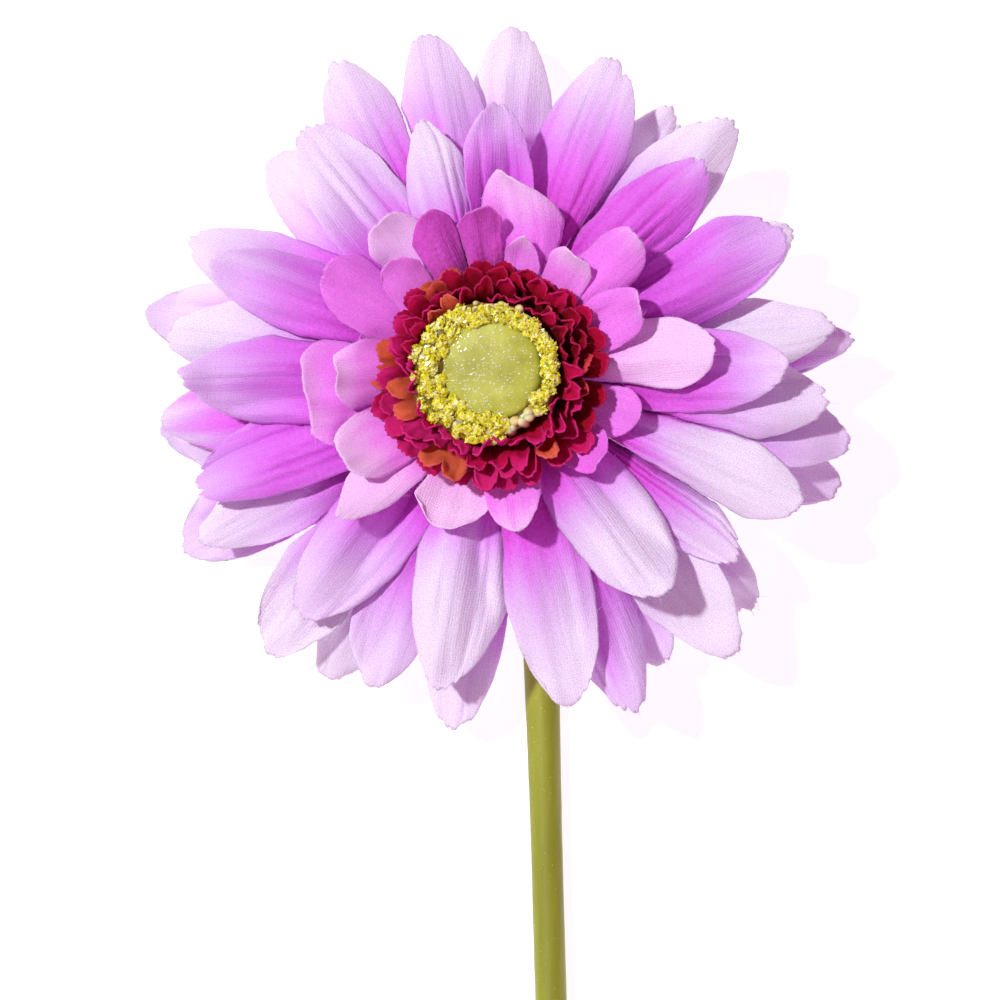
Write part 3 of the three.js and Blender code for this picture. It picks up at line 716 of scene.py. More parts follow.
class PressedPetal:
    """One petal: where its cloth lies, and how it is dyed there."""

    THICKNESS = CLOTH
    FULLNESS = 1  # the share of its strip of cloth that a petal fills
    THREAD_TONES = (0.4, 1.6)  # how far the dye has faded in the loose threads
    LONGEST_THREAD = 2.4

    def __init__(self, petal, root, height, slopes, room, draw):
        self.petal, self.room = petal, room
        lifted = (slopes[0], slopes[1] + 3 * petal.lift)
        self.length = (petal.reach - root) / Spine(0, 0, 1, lifted).at(1)[0]
        self.spine = Spine(root, height, self.length, lifted)
        self.outward, self.aside = bearing_frame(petal.bearing)
        self.root_tone_and_shade, self.fading, self.pliant = 0, 1, 1
        if root < PETAL_ROOT:
            # A fade above 1.3 paints a short petal's root darker, down to the rose's darkest stop, as
            # painted shade.
            self.root_tone_and_shade = 0.22 - 0.2 * smooth(petal.fade, 1.3, 1.6)
            self.fading, self.pliant = 0.62, 0.45
        self.seed = Vector((petal.bearing * 0.37, petal.reach * 0.71, 0))
        self.cup = draw.uniform(-2.2, -0.6) if petal.cup is None else petal.cup
        self.wave = draw.uniform(0, 6.28)
        self.tip_curl = draw.uniform(-1.8, 0.8) * min(self.length / LONG_PETAL, 1)
        self.flick = draw.choice((-1.2, 0, 0.8, 1.6)) * smooth(self.length, 20, LONG_PETAL)
        self.apex = draw.uniform(-0.35, 0.35)
        self.creases = [self.crease(draw, side * draw.uniform(0.25, 0.45), 1.0) for side in (-1, 1)]
        for place in (-0.7, 0, 0.7)[draw.randrange(2):]:
            self.creases.append(self.crease(draw, place + draw.uniform(-0.12, 0.12), 0.7))

    def crease(self, draw, place, deepest):
        depth = draw.uniform(0.4, 1) * deepest * self.pliant
        width = draw.uniform(0.06, 0.11)
        fold = draw.uniform(-3.8, 2.8) * self.pliant
        return Crease(place, depth, width, fold, draw.uniform(0.75, 1.15))

    def grain(self, x, y, layer):
        return noise.noise(Vector((x, y, layer)) + self.seed)

    def pressed(self, crease, t):
        return smooth(t, 0.02, 0.2) * (1 - smooth(t, crease.end - 0.3, crease.end)) * self.petal.ribs

    def place(self, row, v):
        """How far along, as a share, and how far aside, in millimetres, the cloth lies."""
        bent = v - self.apex * (1 - v * v)
        end = self.petal.point * (1 - math.sqrt(max(1 - 0.98 * bent * bent, 0)))
        notches = sum(groove(v, crease.place, 0.09) * crease.depth for crease in self.creases)
        ragged = 0.9 * self.petal.ribs * notches + 1.2 * max(self.grain(v * 3, 0, 1), 0)
        ragged = (ragged + 0.25 * self.grain(v * 14, 0, 2)) * min(self.length / LONG_PETAL, 1)
        t = row * (1 - end - ragged / self.length * row ** 10)
        room = self.room[0] if v < 0 else self.room[1]
        free = self.spine.at(t)[0] * math.tan(room) - SLIT / 2
        side = min(half_width(self.petal, row), free) * v
        uneven = 0.3 * self.grain(v, t * self.length * 0.25, 9)
        uneven += 0.1 * self.grain(v, t * self.length * 1.3, 4)
        return t, side + v * smooth(t, 0.1, 0.4) * uneven

    def relief(self, t, v, side):
        """How far the pressed cloth stands above its middle surface."""
        bulge = self.cup * (v * v - 0.3) + self.tip_curl * smooth(t, 0.72, 1)
        bulge += self.petal.rim * smooth(max(abs(v), t), 0.68, 1)
        bulge += self.flick * smooth(t, 0.84, 0.98) * (0.6 + 0.5 * math.sin(2.5 * v + self.wave))
        bulge += 0.5 * abs(v) ** 5 * math.sin(9 * t + self.wave + (2 if v > 0 else 0))
        bulge += 1.7 * self.grain(side * 0.14, t * self.length * 0.05, 3)
        bulge += 0.5 * self.grain(side * 0.4, t * self.length * 0.09, 7)
        for crease in self.creases:
            valley = math.exp(-abs(v - crease.place) / crease.width) * crease.depth
            facets = crease.fold * (math.hypot(v - crease.place, 0.05) - 0.6)
            bulge += self.pressed(crease, t) * (facets - valley)
        roll = math.tan(math.radians(self.petal.roll)) * side * t
        return smooth(t, 0, 0.35) * bulge * min(self.petal.width / WIDE_PETAL, 1) + roll

    def dyed(self, row, t, v):
        """How far the dye has faded, darkened by painted shade in the creases and at the roots of the
        short petals with the highest fades, how violet it is, and how near the cut edge this is.
        """
        brushed = 0.12 * self.grain(v * 2.5, t * 1.5, 5)
        faded = smooth(t + brushed, self.petal.fade - 0.34, self.petal.fade + 0.26)
        # The creases are darker: partly dye gathered in the grooves, partly painted shade.
        crease_dye_and_shade = sum(self.pressed(crease, t) * groove(v, crease.place, crease.width) * crease.depth
                   for crease in self.creases)
        edge = max(smooth(abs(v), 0.93, 1), smooth(row, 0.98, 1))
        paler = self.root_tone_and_shade + self.fading * (0.2 * smooth(t, 0.12, 0.6) + 0.8 * faded)
        return paler - 0.1 * crease_dye_and_shade, self.petal.violet, edge

    def at(self, row, v):
        """A spot of the pressed cloth, its place on the flat cloth, and its dye."""
        t, side = self.place(row, v)
        spot, normal = self.spine.over(t, self.outward)
        spot += self.aside * (side + self.petal.sweep * t * t) + normal * self.relief(t, v, side)
        flat = (side + 40 * self.petal.bearing, t * self.length, 0)
        return settled(spot), flat, self.dyed(row, t, v)

    def cut_line(self, rows, columns):
        """Spots round the edge of the petal as it is cut, still flat."""
        edge = [self.place(i / rows, v) for i in range(rows) for v in (-1, 1)]
        edge += [self.place(1, -1 + 2 * j / columns) for j in range(columns + 1)]
        root = self.spine.line[0][0]
        return [(self.outward * (root + t * self.length) + self.aside * side).to_2d() for t, side in edge]

# %% [markdown]
# ## Cloth on cloth
# Two pressed petals that lie one on the other would pass through each other where the lower one
# bulges up, and real cloth rides over it. So from every spot of a petal's grid the script looks
# down from above for the highest cloth already laid, and raises the spot if it lies lower. The
# raised places are then widened and their rims rounded, or they would print as sharp steps.

# %% Resting on the sheets below
REST = 0.3  # millimetres from the middle of one cloth to the next where they touch
SKY = 90


def mean(values):
    return sum(values) / len(values)


def softened(raises):
    """Widens the raised places of a grid a little and rounds their rims."""
    for blend in [max] * 3 + [mean] * 4:
        for _ in ("across", "along"):
            padded = [row[:1] + row + row[-1:] for row in raises]
            blended = [[blend(row[k:k + 3]) for k in range(len(row) - 2)] for row in padded]
            raises = [list(column) for column in zip(*blended)]
    return raises


def rested(grid, beneath):
    """The grid, raised wherever the sheets beneath stand higher."""
    raises = []
    for row in grid:
        tops = [beneath.ray_cast(Vector((spot.x, spot.y, SKY)), -UP)[0] for spot in row]
        raises.append([max(top.z + REST - spot.z, 0) if top else 0 for spot, top in zip(row, tops)])
    both = zip(grid, softened(raises))
    return [[spot + UP * up for spot, up in zip(spots, ups)] for spots, ups in both]

# %% A petal's grid and its loose threads
LARGE_GRID = (60, 40)
SMALL_GRID = (40, 24)
FUZZ_EVERY = 0.28  # millimetres of edge for each short thread
EDGE_TO_SIDE = 2.6  # the whole edge of a petal, as a multiple of one side
LONG_THREADS = 0.025  # the share of the threads that are long


def fray(cloth, grid, places, petal, draw):
    """Loose threads along the two sides and the tip of a grid of cloth."""
    rows, columns = len(grid), len(grid[0])
    sides = [(i, j, i, 1 if j == 0 else j - 1) for j in (0, columns - 1) for i in range(rows // 5, rows)]
    tip = [(rows - 1, j, rows - 2, j) for j in range(columns)]
    reach = sum((grid[i][0] - grid[i - 1][0]).length for i in range(1, rows))
    for k in range(round(EDGE_TO_SIDE * reach / FUZZ_EVERY)):
        i, j, inner_i, inner_j = draw.choice(sides if k % 3 else tip)
        edge, inner = grid[i][j], grid[inner_i][inner_j]
        beyond = grid[max(i - 1, 0)][j] if inner_i == i else grid[i][max(j - 1, 0)]
        foot = edge.lerp(beyond, draw.random()).lerp(inner, 0.08)
        loose = Vector((draw.gauss(0, 1), draw.gauss(0, 1), draw.gauss(0, 0.6)))
        way = ((edge - inner).normalized() + 0.55 * loose).normalized()
        long = draw.random() < LONG_THREADS
        length = draw.uniform(1.0, petal.LONGEST_THREAD) if long else draw.uniform(0.15, 0.55)
        bend = loose.cross(way) * length * 0.2 if long else Vector()
        cloth.thread(foot, way, length, bend, places[i][j], (draw.uniform(*petal.THREAD_TONES), 0.2, 0))


def lay_petal(cloth, petal, size, draw, beneath=None):
    """Lays one petal in its sheet, on the sheets beneath it, and frays its edge."""
    rows, columns = size
    grid, places, dyes = [], [], []
    for i in range(rows + 1):
        row = [petal.at(i / rows, -1 + 2 * j / columns) for j in range(columns + 1)]
        for notes, values in zip((grid, places, dyes), zip(*row)):
            notes.append(values)
        if i:
            width = places[i][-1][0] - places[i][0][0]
            cloth.flat_area += petal.length / rows * petal.FULLNESS * width
    if beneath:
        grid = rested(grid, beneath)
    cloth.grids.append(grid)
    cloth.shell(grid, places, dyes, petal.THICKNESS)
    fray(cloth, grid, places, petal, draw)

# %% [markdown]
# ## Sheets of petals
# A sheet is what the die cuts in one stroke: a round middle with a hole for the spike, and its
# petals round it. Each sheet becomes one piece, and the flat size that it was cut to is worked
# out as well. The sheets are laid from the bottom up, and each one rests on all that came before
# it. The random numbers come from a seed of the sheet's own, so every run gives the same
# flower.

# %% Petal sheets
def flat_size(cut_line):
    """Width and length of the smallest box that the flat cut fits in, in millimetres."""
    boxes = []
    for turn in range(0, 90, 5):
        spun = [Matrix.Rotation(math.radians(turn), 2) @ spot for spot in cut_line]
        boxes.append([max(spot[k] for spot in spun) - min(spot[k] for spot in spun) for k in (0, 1)])
    return min(boxes, key=math.prod)


ROOT_LAP = 0.4  # how far the round middle reaches under its petals
WASHER_SIDES = 60
PETAL_SEEDS = 100
below = "calyx"
beneath, laid_points, laid_faces = None, [], []
for number, sheet in enumerate(SHEETS):
    small = sheet.name.startswith("small")
    root, size = (SMALL_ROOT, SMALL_GRID) if small else (PETAL_ROOT, LARGE_GRID)
    height = FIRST_PLATE + PITCH * number + PLATE / 2
    cloth, cut_line = Cloth(), []
    draw = random.Random(PETAL_SEEDS + number)
    cloth.washer(root + ROOT_LAP, height, CLOTH, WASHER_SIDES)
    for petal in sheet.petals:
        room = room_beside(petal.bearing, [other.bearing for other in sheet.petals])
        pressed = PressedPetal(petal, root, height, sheet.slopes, room, draw)
        lay_petal(cloth, pressed, size, draw, beneath)
        cut_line += pressed.cut_line(*size)
    for grid in cloth.grids:
        laid_faces += skin(len(grid), len(grid[0]), len(laid_points))
        laid_points += [spot for row in grid for spot in row]
    beneath = BVHTree.FromPolygons(laid_points, laid_faces)
    finish = SMALL_CLOTH if small else PETAL_CLOTH
    add_sheet(sheet.name, cloth, finish, sheet.node, flat_size(cut_line), below)
    below = sheet.name

# %% [markdown]
# ## The crimson fringe
# Round the stamens stand four small sheets of the same cloth, dyed crimson. Each is cut into
# petals that end in two round lobes. The inner sheets are pushed nearly upright and the outer
# ones lie open, more so on the left than on the right, and they reach less far at the top. No two
# lobes lean alike: each petal has its own lean, twist and curl. Here and there a lobe was dyed
# orange. Those are named by sheet, petal and side.

# %% Fringe cloth
# The lobes go darker towards their roots; the darkest stops are painted shade down among the lobes.
CRIMSON = [(0.0, (104, 0, 8)), (0.4, (170, 0, 38)), (0.8, (206, 8, 84)), (1.0, (224, 36, 126))]
CORAL = [(0.1, (176, 16, 62)), (0.5, (228, 70, 62)), (1.0, (246, 118, 78))]
fringe_finish = Finish("fringe_cloth", Roughness=0.9, Specular_IOR_Level=0.15,
                       Subsurface_Weight=0.35, Subsurface_Radius=(1.0, 0.1, 0.3), Subsurface_Scale=0.0007)
# The hollow and top colours paint shade between the threads and a highlight on their tops.
fringe_finish.set("Normal", dye_cloth(fringe_finish, CRIMSON, CORAL, patchy=0.5,
                                      painted_hollow_shade=(0.2, (208, 196, 202)), tops=(0.8, WHITE),
                                      fibre_highlight=(228, 70, 150), fibre_highlight_share=0.2))
print("made", fringe_finish.material.name)

# %% The fringe's sheets and the look of one petal
FRINGE_PLATE = 7.7  # height of the lowest sheet's middle over the calyx
FRINGE_THICK = 0.26
FRINGE_PETALS = 13
FRINGE_GRID = (18, 20)
UPRIGHT_SIDE = 112  # the bearing where the fringe curls up most

# Orange lobes are given as the petal's number and its side: -1 left, 1 right, 0 both.
Fringe = namedtuple("Fringe", "name node root length slopes first orange")
FRINGES = [
    Fringe("fringe_cloth_1", "fringe_sheet_1", 12.2, 8.2, (38, 10), 25.3, {11: 0, 9: 0}),
    Fringe("fringe_cloth_2", "fringe_sheet_2", 11.8, 7.6, (52, 30), 11, {7: 0, 11: 1, 3: 0, 5: -1}),
    Fringe("fringe_cloth_3", "fringe_sheet_3", 11.2, 7.0, (62, 50), 0.8, {9: 0, 2: -1}),
    Fringe("fringe_cloth_4", "fringe_sheet_4", 10.6, 6.6, (74, 68), 14.3, {11: 0}),
]


class FringePetal:
    """One two-lobed petal of the fringe."""

    THICKNESS = FRINGE_THICK
    FULLNESS = 0.85
    THREAD_TONES = (0.5, 1.2)
    LONGEST_THREAD = 1.6

    def __init__(self, fringe, index, height, draw):
        self.bearing = fringe.first + 360 / FRINGE_PETALS * index + draw.uniform(-3, 3)
        self.orange = fringe.orange.get(index)
        up = 0.45 + 0.45 * math.cos(math.radians(self.bearing - UPRIGHT_SIDE))
        first, last = fringe.slopes
        slopes = (first - 14 * up, last + 52 * up * (1 - last / 130) + draw.uniform(-20, 16))
        angle = math.radians(self.bearing)
        east, north = math.sin(angle), math.cos(angle)
        self.length = fringe.length * draw.uniform(0.86, 1.08)
        self.length *= 0.98 - (0.28 if north > 0 else 0.17) * north - 0.1 * east
        self.spine = Spine(fringe.root, height, self.length, slopes, 1)
        self.curl = {-1: draw.uniform(-1.4, 1.0), 1: draw.uniform(-1.4, 1.0)}
        self.reach = {-1: draw.uniform(0.85, 1), 1: draw.uniform(0.85, 1)}
        self.twist = draw.uniform(-1.5, 1.5)
        self.seed = Vector((self.bearing, index, fringe.root))
        # The tone varies at random, is painted darker on the right, away from the lamp, as shade, and is
        # lighter towards the bottom of the picture.
        self.tone_with_painted_light = draw.uniform(-0.4, 0.15) - 0.22 * east + 0.4 * max(-north, 0)

    def at(self, row, v):
        """A spot of the curled cloth, its place on the flat cloth, and its dye."""
        side = -1 if v < 0 else 1
        lobe = math.sqrt(max(1 - ((abs(v) - 0.5) / 0.5) ** 2, 0))
        tooth = 0.018 * math.cos(v * FRINGE_GRID[1] * math.pi / 2) * row ** 6
        t = row * (1 - row * (1 - self.reach[side] * (0.72 + 0.28 * lobe))) - tooth
        angle = math.radians(self.bearing) + math.pi / FRINGE_PETALS * (1.08 - 0.12 * t) * v
        spot, normal = self.spine.over(t, outward_at(angle))
        fold = self.curl[side] * math.sin(math.pi * abs(v)) * t + self.twist * v
        crumple = noise.noise(Vector((v * 1.3, t * 1.6, 0)) + self.seed)
        crease = noise.noise(Vector((v * 3.4, t * 3, 5)) + self.seed)
        spot += normal * t * (fold + 2.4 * crumple * t + 1.0 * crease)
        edge = max(smooth(abs(v), 0.9, 1), smooth(row, 0.95, 1))
        # The colour deepens towards the root, as painted shade among the lobes, and follows the tone.
        dye = (t + self.tone_with_painted_light, float(self.orange in (0, side)), edge)
        return HEAD @ spot, (angle * self.spine.at(t)[0], t * self.length, 0), dye

# %% Fringe sheets
FRINGE_LAP = 0.3
FRINGE_WASHER_SIDES = 66
FRINGE_SEEDS = 300
for number, fringe in enumerate(FRINGES):
    height = FRINGE_PLATE + PITCH * number
    cloth = Cloth()
    draw = random.Random(FRINGE_SEEDS + number)
    cloth.washer(fringe.root + FRINGE_LAP, height, FRINGE_THICK, FRINGE_WASHER_SIDES)
    for index in range(FRINGE_PETALS):
        lay_petal(cloth, FringePetal(fringe, index, height, draw), FRINGE_GRID, draw)
    across = 2 * (fringe.root + fringe.length)
    add_sheet(fringe.name, cloth, fringe_finish.material, fringe.node,
              (across, across), below)
    below = fringe.name

# %% [markdown]
# ## The green disc
# The middle is one moulded cushion of lime green plastic, slightly clear, so light softens in it.
# A turned profile gives its shape: straight at its foot, then swelling out over the feet of the
# stamens, with a low top that is not quite even. Tiny white specks of glitter lie on it, thickest
# in the middle and in short rows. They are real flakes here, not painted dots, so that they stay
# bright from any side.

# %% Disc plastic and shape
LIME_PLASTIC = clouded(
    "lime_plastic", (240, 4.0), [(0.28, (170, 172, 50)), (0.5, (190, 194, 70)), (0.72, (206, 212, 92))],
    (1100, 3.0, 0.0001), Roughness=0.5, IOR=1.45,
    Subsurface_Weight=0.6, Subsurface_Radius=(1.0, 1.0, 0.35), Subsurface_Scale=0.0015,
)
DISC_BASE = 11.7
DISC_TOP = 16.0
DISC_RIM = 8.0  # the cushion swells out over the disc's measured edge
DISC_FOOT = 7.4
SWELLS_FROM = 13.4
SOCKET_TOP = DISC_BASE + 2.3
RIM_STEPS = 24
TURNED_SIDES = 72


def turned(points, faces, profile, steps, closed=False, wobble=None):
    """Turns a profile of (radius, height) about the head's axis, where an open one ends."""
    rings = []
    for radius, up in profile:
        ring = spots_round(UP * up, NORTH * radius, EAST * radius, steps if radius else 1)
        if wobble:
            ring = [spot + UP * wobble(spot) for spot in ring]
        rings.append(ring)
    loft(points, faces, rings, closed, clockwise=True)


def dome(radius):
    """Height of the disc's top at a radius."""
    share = min(radius / DISC_RIM, 1)
    return DISC_TOP - 1.9 * (1 - (1 - share ** 4) ** 0.5)


def swell(spot):
    """How much higher the uneven cushion is than its profile."""
    if spot.z < DISC_BASE + 1:
        return 0
    return 0.025 * noise.noise(Vector((spot.x * 0.35, spot.y * 0.35, 2)))


profile = [(0, SOCKET_TOP), (SPIKE_HOLE, SOCKET_TOP), (SPIKE_HOLE, DISC_BASE)]
profile += [(DISC_FOOT - 0.4, DISC_BASE), (DISC_FOOT, DISC_BASE + 0.5)]
profile += [(DISC_FOOT, SWELLS_FROM), (DISC_RIM - 0.1, SWELLS_FROM + 0.3)]
rim_radii = [DISC_RIM * (1 - (i / RIM_STEPS) ** 1.6) for i in range(RIM_STEPS + 1)]
profile += [(radius, dome(radius)) for radius in rim_radii]
points, faces = [], []
turned(points, faces, profile, TURNED_SIDES, wobble=swell)
make_piece("green_disc", placed(points), faces, LIME_PLASTIC, ["centre_disc"])

# %% Glitter specks on the disc
SPECKS = 620
SPECK_MIDDLE = Vector((0.3, -0.7, 0))
SPECK_REACH = 7.6
SPECK_ROWS = 0.45  # millimetres from row to row


def flake(points, faces, centre, normal, size, thickness, turn, stretch=1.0, sides=5):
    """A thin closed plate with a few sides, lying across the normal."""
    normal = normal.normalized()
    across = normal.orthogonal().normalized()
    beside = normal.cross(across) * size
    across *= size * stretch
    levels = [centre + normal * thickness * level for level in (-0.5, 0.5)]
    loft(points, faces, [spots_round(level, across, beside, sides, turn) for level in levels])


white_speck = clouded("white_speck", (3000,), [(0.35, (232, 236, 186)), (0.65, (255, 255, 250))],
                      Roughness=0.2)
draw = random.Random(7)
points, faces = [], []
for _ in range(SPECKS):
    radius = SPECK_REACH * draw.random() ** 0.6
    spot = SPECK_MIDDLE + bearing_frame(draw.uniform(0, 360))[0] * radius
    spot.y = SPECK_ROWS * round(spot.y / SPECK_ROWS) + draw.gauss(0, 0.09)
    if spot.length < SPECK_REACH:
        spot.z = dome(math.hypot(spot.x, spot.y)) + 0.02
        spot.z += swell(spot)
        size = draw.choice((0.03, 0.045, 0.06, 0.07, 0.1))
        flake(points, faces, spot, Vector((spot.x * 0.03, spot.y * 0.03, 1)), size, 0.08,
              draw.uniform(0, 6), draw.choice((1, 1, 1.5, 2.4)))
make_piece("disc_specks", placed(points), faces, white_speck, [], smooth_shaded=False)

# %% [markdown]
# ## Stamens
# A band of short cream stamens stands round the disc. The glitter hides most of them; they show
# on the lower right, where it has not stuck, and stand thicker and taller there. They are soft,
# slightly clear plastic, so each is a rounded peg with its own lean and height rather than one of
# a row of cylinders.

# %% Stamens
CREAM_PLASTIC = clouded(
    "cream_plastic", (500, 3.0), [(0.3, (232, 200, 132)), (0.5, (242, 226, 160)), (0.7, (250, 246, 204))],
    (1500, 2.0, 0.00006), Roughness=0.35,
    Subsurface_Weight=0.6, Subsurface_Radius=(1.0, 0.6, 0.4), Subsurface_Scale=0.001,
)
BARE_AT = 147  # the bearing where no glitter has stuck and the stamens are swollen
STAMEN_INNER, STAMEN_OUTER, STAMEN_RIM = 7.6, 10.1, 13.2
FIRST_ROW, ROW_PITCH = 8.9, 0.55
STAMENS = 64
PEG_LEVELS = [(0, 1), (0.35, 0.92), (0.75, 0.95), (0.9, 0.75), (0.97, 0.45), (1, 0.12)]
PEG_SIDES = 10
BAND_SIDES = 60


def near(bearing, other, inside, outside):
    """0 close to another bearing, 1 away from it."""
    return smooth(abs((bearing - other + 180) % 360 - 180), inside, outside)


def peg(points, faces, foot, tip, radius):
    """A round-ended peg from its foot to its tip."""
    across = (tip - foot).orthogonal().normalized() * radius
    beside = (tip - foot).normalized().cross(across)
    loft(points, faces, [spots_round(foot.lerp(tip, share), across * width, beside * width, PEG_SIDES)
                         for share, width in PEG_LEVELS])


draw = random.Random(21)
band = [(STAMEN_INNER, DISC_BASE), (STAMEN_OUTER, DISC_BASE),
        (STAMEN_OUTER, STAMEN_RIM), (STAMEN_INNER, STAMEN_RIM)]
points, faces = [], []
turned(points, faces, band, BAND_SIDES, closed=True)
for i in range(STAMENS):
    outward, aside = bearing_frame(360 * (i + draw.uniform(-0.3, 0.3)) / STAMENS)
    foot = outward * (FIRST_ROW + i % 3 * ROW_PITCH) + UP * (STAMEN_RIM - 0.4)
    lean = outward * draw.uniform(-0.5, 0.4) + aside * draw.uniform(-0.5, 0.5)
    tip = foot + lean + UP * draw.uniform(1.9, 3.2)
    swollen = 1 - near(360 * i / STAMENS, BARE_AT, 14, 26)
    peg(points, faces, foot, tip + UP * 0.8 * swollen, draw.uniform(0.5, 0.8) + 0.25 * swollen)
make_piece("stamens", placed(points), faces, CREAM_PLASTIC, ["stamen_ring"])

# %% [markdown]
# ## Glitter crumbs
# Gold glitter is glued over the stamens' heads. It lies as a lumpy wreath, wide on the left and
# at the bottom, thin on the right, and nearly bare at the lower right. What the eye reads is
# sparkle: some flakes throw the lamp back and are almost white, and those between them are dark
# olive. A smooth ring cannot do that. So a lumpy wreath is made first, small balls on it stand
# for the stamens' heads, and thousands of flat flakes are laid on the balls, facing every way.
# Each flake remembers a tone of its own for the material, which paints part of the sparkle: the
# highest tones are painted glints, almost white, and the wreath between the flakes is painted
# dark olive as shade.

# %% The wreath under the glitter
RING_HEIGHT = 16.2
WREATH_FLOOR = RING_HEIGHT - 1.6
AROUND, OVER = 180, 12


def wreath(bearing):
    """Middle radius, half width and height of the glitter at a bearing."""
    angle = math.radians(bearing)
    east, north = math.sin(angle), math.cos(angle)
    lumps = noise.noise(Vector((north * 4.5, east * 4.5, 1)))
    gap = near(bearing, 3, 1.5, 5)
    bare = near(bearing, BARE_AT, 9, 24)
    half = (1.85 - 0.75 * east - 0.5 * north + 0.5 * lumps) * (0.4 + 0.6 * gap) * (0.1 + 0.9 * bare)
    top = RING_HEIGHT + 0.2 + 0.4 * lumps - 1.5 * (1 - bare) - 0.8 * (1 - gap)
    return 9.15 - 0.27 * north - 0.37 * math.cos(2 * angle), half, top


def over_wreath(bearing):
    """Spots over the wreath at a bearing, from its inner foot to its outer foot."""
    middle, half, top = wreath(bearing)
    outward, _ = bearing_frame(bearing)
    rise = max(top - WREATH_FLOOR - 0.7, 0.2)
    turns = [math.pi * j / OVER for j in range(OVER + 1)]
    return [outward * (middle - math.cos(turn) * half) + UP * (WREATH_FLOOR + math.sin(turn) * rise)
            for turn in turns]


points, faces = [], []
loft(points, faces, [over_wreath(360 * i / AROUND) for i in range(AROUND)], closed=True)
# The wreath takes the darkest tone, dark olive: painted shade between the flakes.
tones = [(0, 0, 0)] * len(points)
print("the wreath has", len(faces), "faces")

# %% The flakes
HEADS = 260
FLAKES_A_HEAD = 46
BALL_RINGS, BALL_SIDES = 7, 10  # of the ball inside one head


def ball(points, faces, centre, radius):
    """A closed ball with a pole at each end."""
    rings = []
    for i in range(BALL_RINGS + 1):
        turn = math.pi * i / BALL_RINGS
        out = radius * math.sin(turn)
        sides = BALL_SIDES if 0 < i < BALL_RINGS else 1
        rings.append(spots_round(centre - UP * radius * math.cos(turn), NORTH * out, EAST * out, sides))
    loft(points, faces, rings, clockwise=True)


draw = random.Random(5)
for i in range(HEADS):
    bearing = 360 * (i + draw.uniform(-0.6, 0.6)) / HEADS
    middle, half, top = wreath(bearing)
    if half < 0.5:
        continue
    across = draw.uniform(-1, 1)
    size = draw.uniform(0.5, 0.9)
    height = top - size * 0.75 - 0.7 * across ** 2 + draw.uniform(-0.25, 0.25)
    out = middle + across * max(half - 0.35 * size, 0)
    centre = bearing_frame(bearing)[0] * out + UP * height
    start = len(points)
    ball(points, faces, centre, size * 0.86)
    tones += [(0.18, 0, 0)] * (len(points) - start)
    for _ in range(FLAKES_A_HEAD):
        way = Vector((draw.gauss(0, 1), draw.gauss(0, 1), abs(draw.gauss(0, 1)) - 0.25)).normalized()
        facing = way + 0.5 * Vector((draw.gauss(0, 1), draw.gauss(0, 1), draw.gauss(0, 1)))
        start = len(points)
        spot = centre + way * size * draw.uniform(0.85, 1.15)
        flake(points, faces, spot, facing, draw.uniform(0.14, 0.36), 0.05,
              draw.uniform(0, 6), draw.uniform(1, 1.8), draw.choice((3, 4, 4)))
        # A flake's random tone sets its colour; the highest tones give it a painted glint, almost white.
        tones += [(draw.random(), 0, 0)] * (len(points) - start)

gold = Finish("gold_glitter", Roughness=0.24)
tone_with_painted_light, _, _ = gold.parts(gold.attribute("tone_with_painted_light"))
cloudy = gold.stirred(tone_with_painted_light, gold.noise(gold.place(), 1200), 0.5)
# The darkest stop is painted shade and the palest, almost white, a painted glint.
gold.set("Base Color", gold.ramp(cloudy, (0.0, (112, 90, 6)), (0.2, (230, 220, 10)),
                                 (0.6, (253, 251, 70)), (0.92, (255, 255, 190))))
glitter = make_piece("gold_glitter", placed(points), faces, gold.material,
                     ["gold_crumb_ring"], smooth_shaded=False)
remember(glitter, "tone_with_painted_light", tones)

# %% [markdown]
# ## Calyx and bracts
# Under the petals sits a moulded green cup with thin pointed bracts. It shows only from the side
# and from below. It has the stem's olive plastic, and each bract a rib down its middle, because a
# plain cup would give the game away as soon as the flower is turned over.

# %% Stem plastic
def stem_plastic():
    """Olive plastic, drawn out along the stem, with a few pale specks and a fine grain."""
    finish = Finish("stem_plastic", Roughness=0.5, IOR=1.46, Subsurface_Weight=0.15,
                    Subsurface_Radius=(1.0, 0.9, 0.2), Subsurface_Scale=0.001)
    place = finish.place()
    stretched = finish.node("Mapping", {"Vector": place, "Scale": (1.0, 0.12, 1.0)}).outputs[0]
    tint = finish.ramp(finish.noise(stretched, 320, 4.0),
                       (0.3, (132, 136, 24)), (0.5, (146, 151, 34)), (0.72, (162, 166, 50)))
    speck = finish.ramp(finish.noise(place, 2600, 1.0), (0.74, BLACK), (0.78, WHITE))
    finish.set("Base Color", finish.mix(speck, tint, shown(206, 200, 120)))
    fine = finish.bump(finish.noise(place, 1800, 2.0), 0.00004)
    finish.set("Normal", finish.bump(finish.noise(stretched, 500, 2.0), 0.0001, fine))
    return finish.material


STEM_PLASTIC = stem_plastic()
print("made", STEM_PLASTIC.name)

# %% Calyx
NECK_RADIUS, CUT_RADIUS = 3.1, 2.5
SOCKET_RADIUS = NECK_RADIUS + 0.3
CALYX_DEPTH = 9.0
SHOULDER = -4.2
BRACTS = 13
BRACT_COLUMNS = 7
BRACT_THICK = 0.75
# The cup from the spike's hole down the socket and up its outside, as radius and height.
CUP = [(SPIKE_HOLE, 0), (SPIKE_HOLE, SHOULDER), (SOCKET_RADIUS, SHOULDER), (SOCKET_RADIUS, -CALYX_DEPTH),
       (SOCKET_RADIUS + 1.1, -CALYX_DEPTH), (5.2, -7.8), (6.4, -6.6), (7.4, -5.4), (8.4, -3.9),
       (9.2, -2.4), (9.6, -1.4), (9.7, -0.7), (9.6, -0.2), (9.4, 0)]
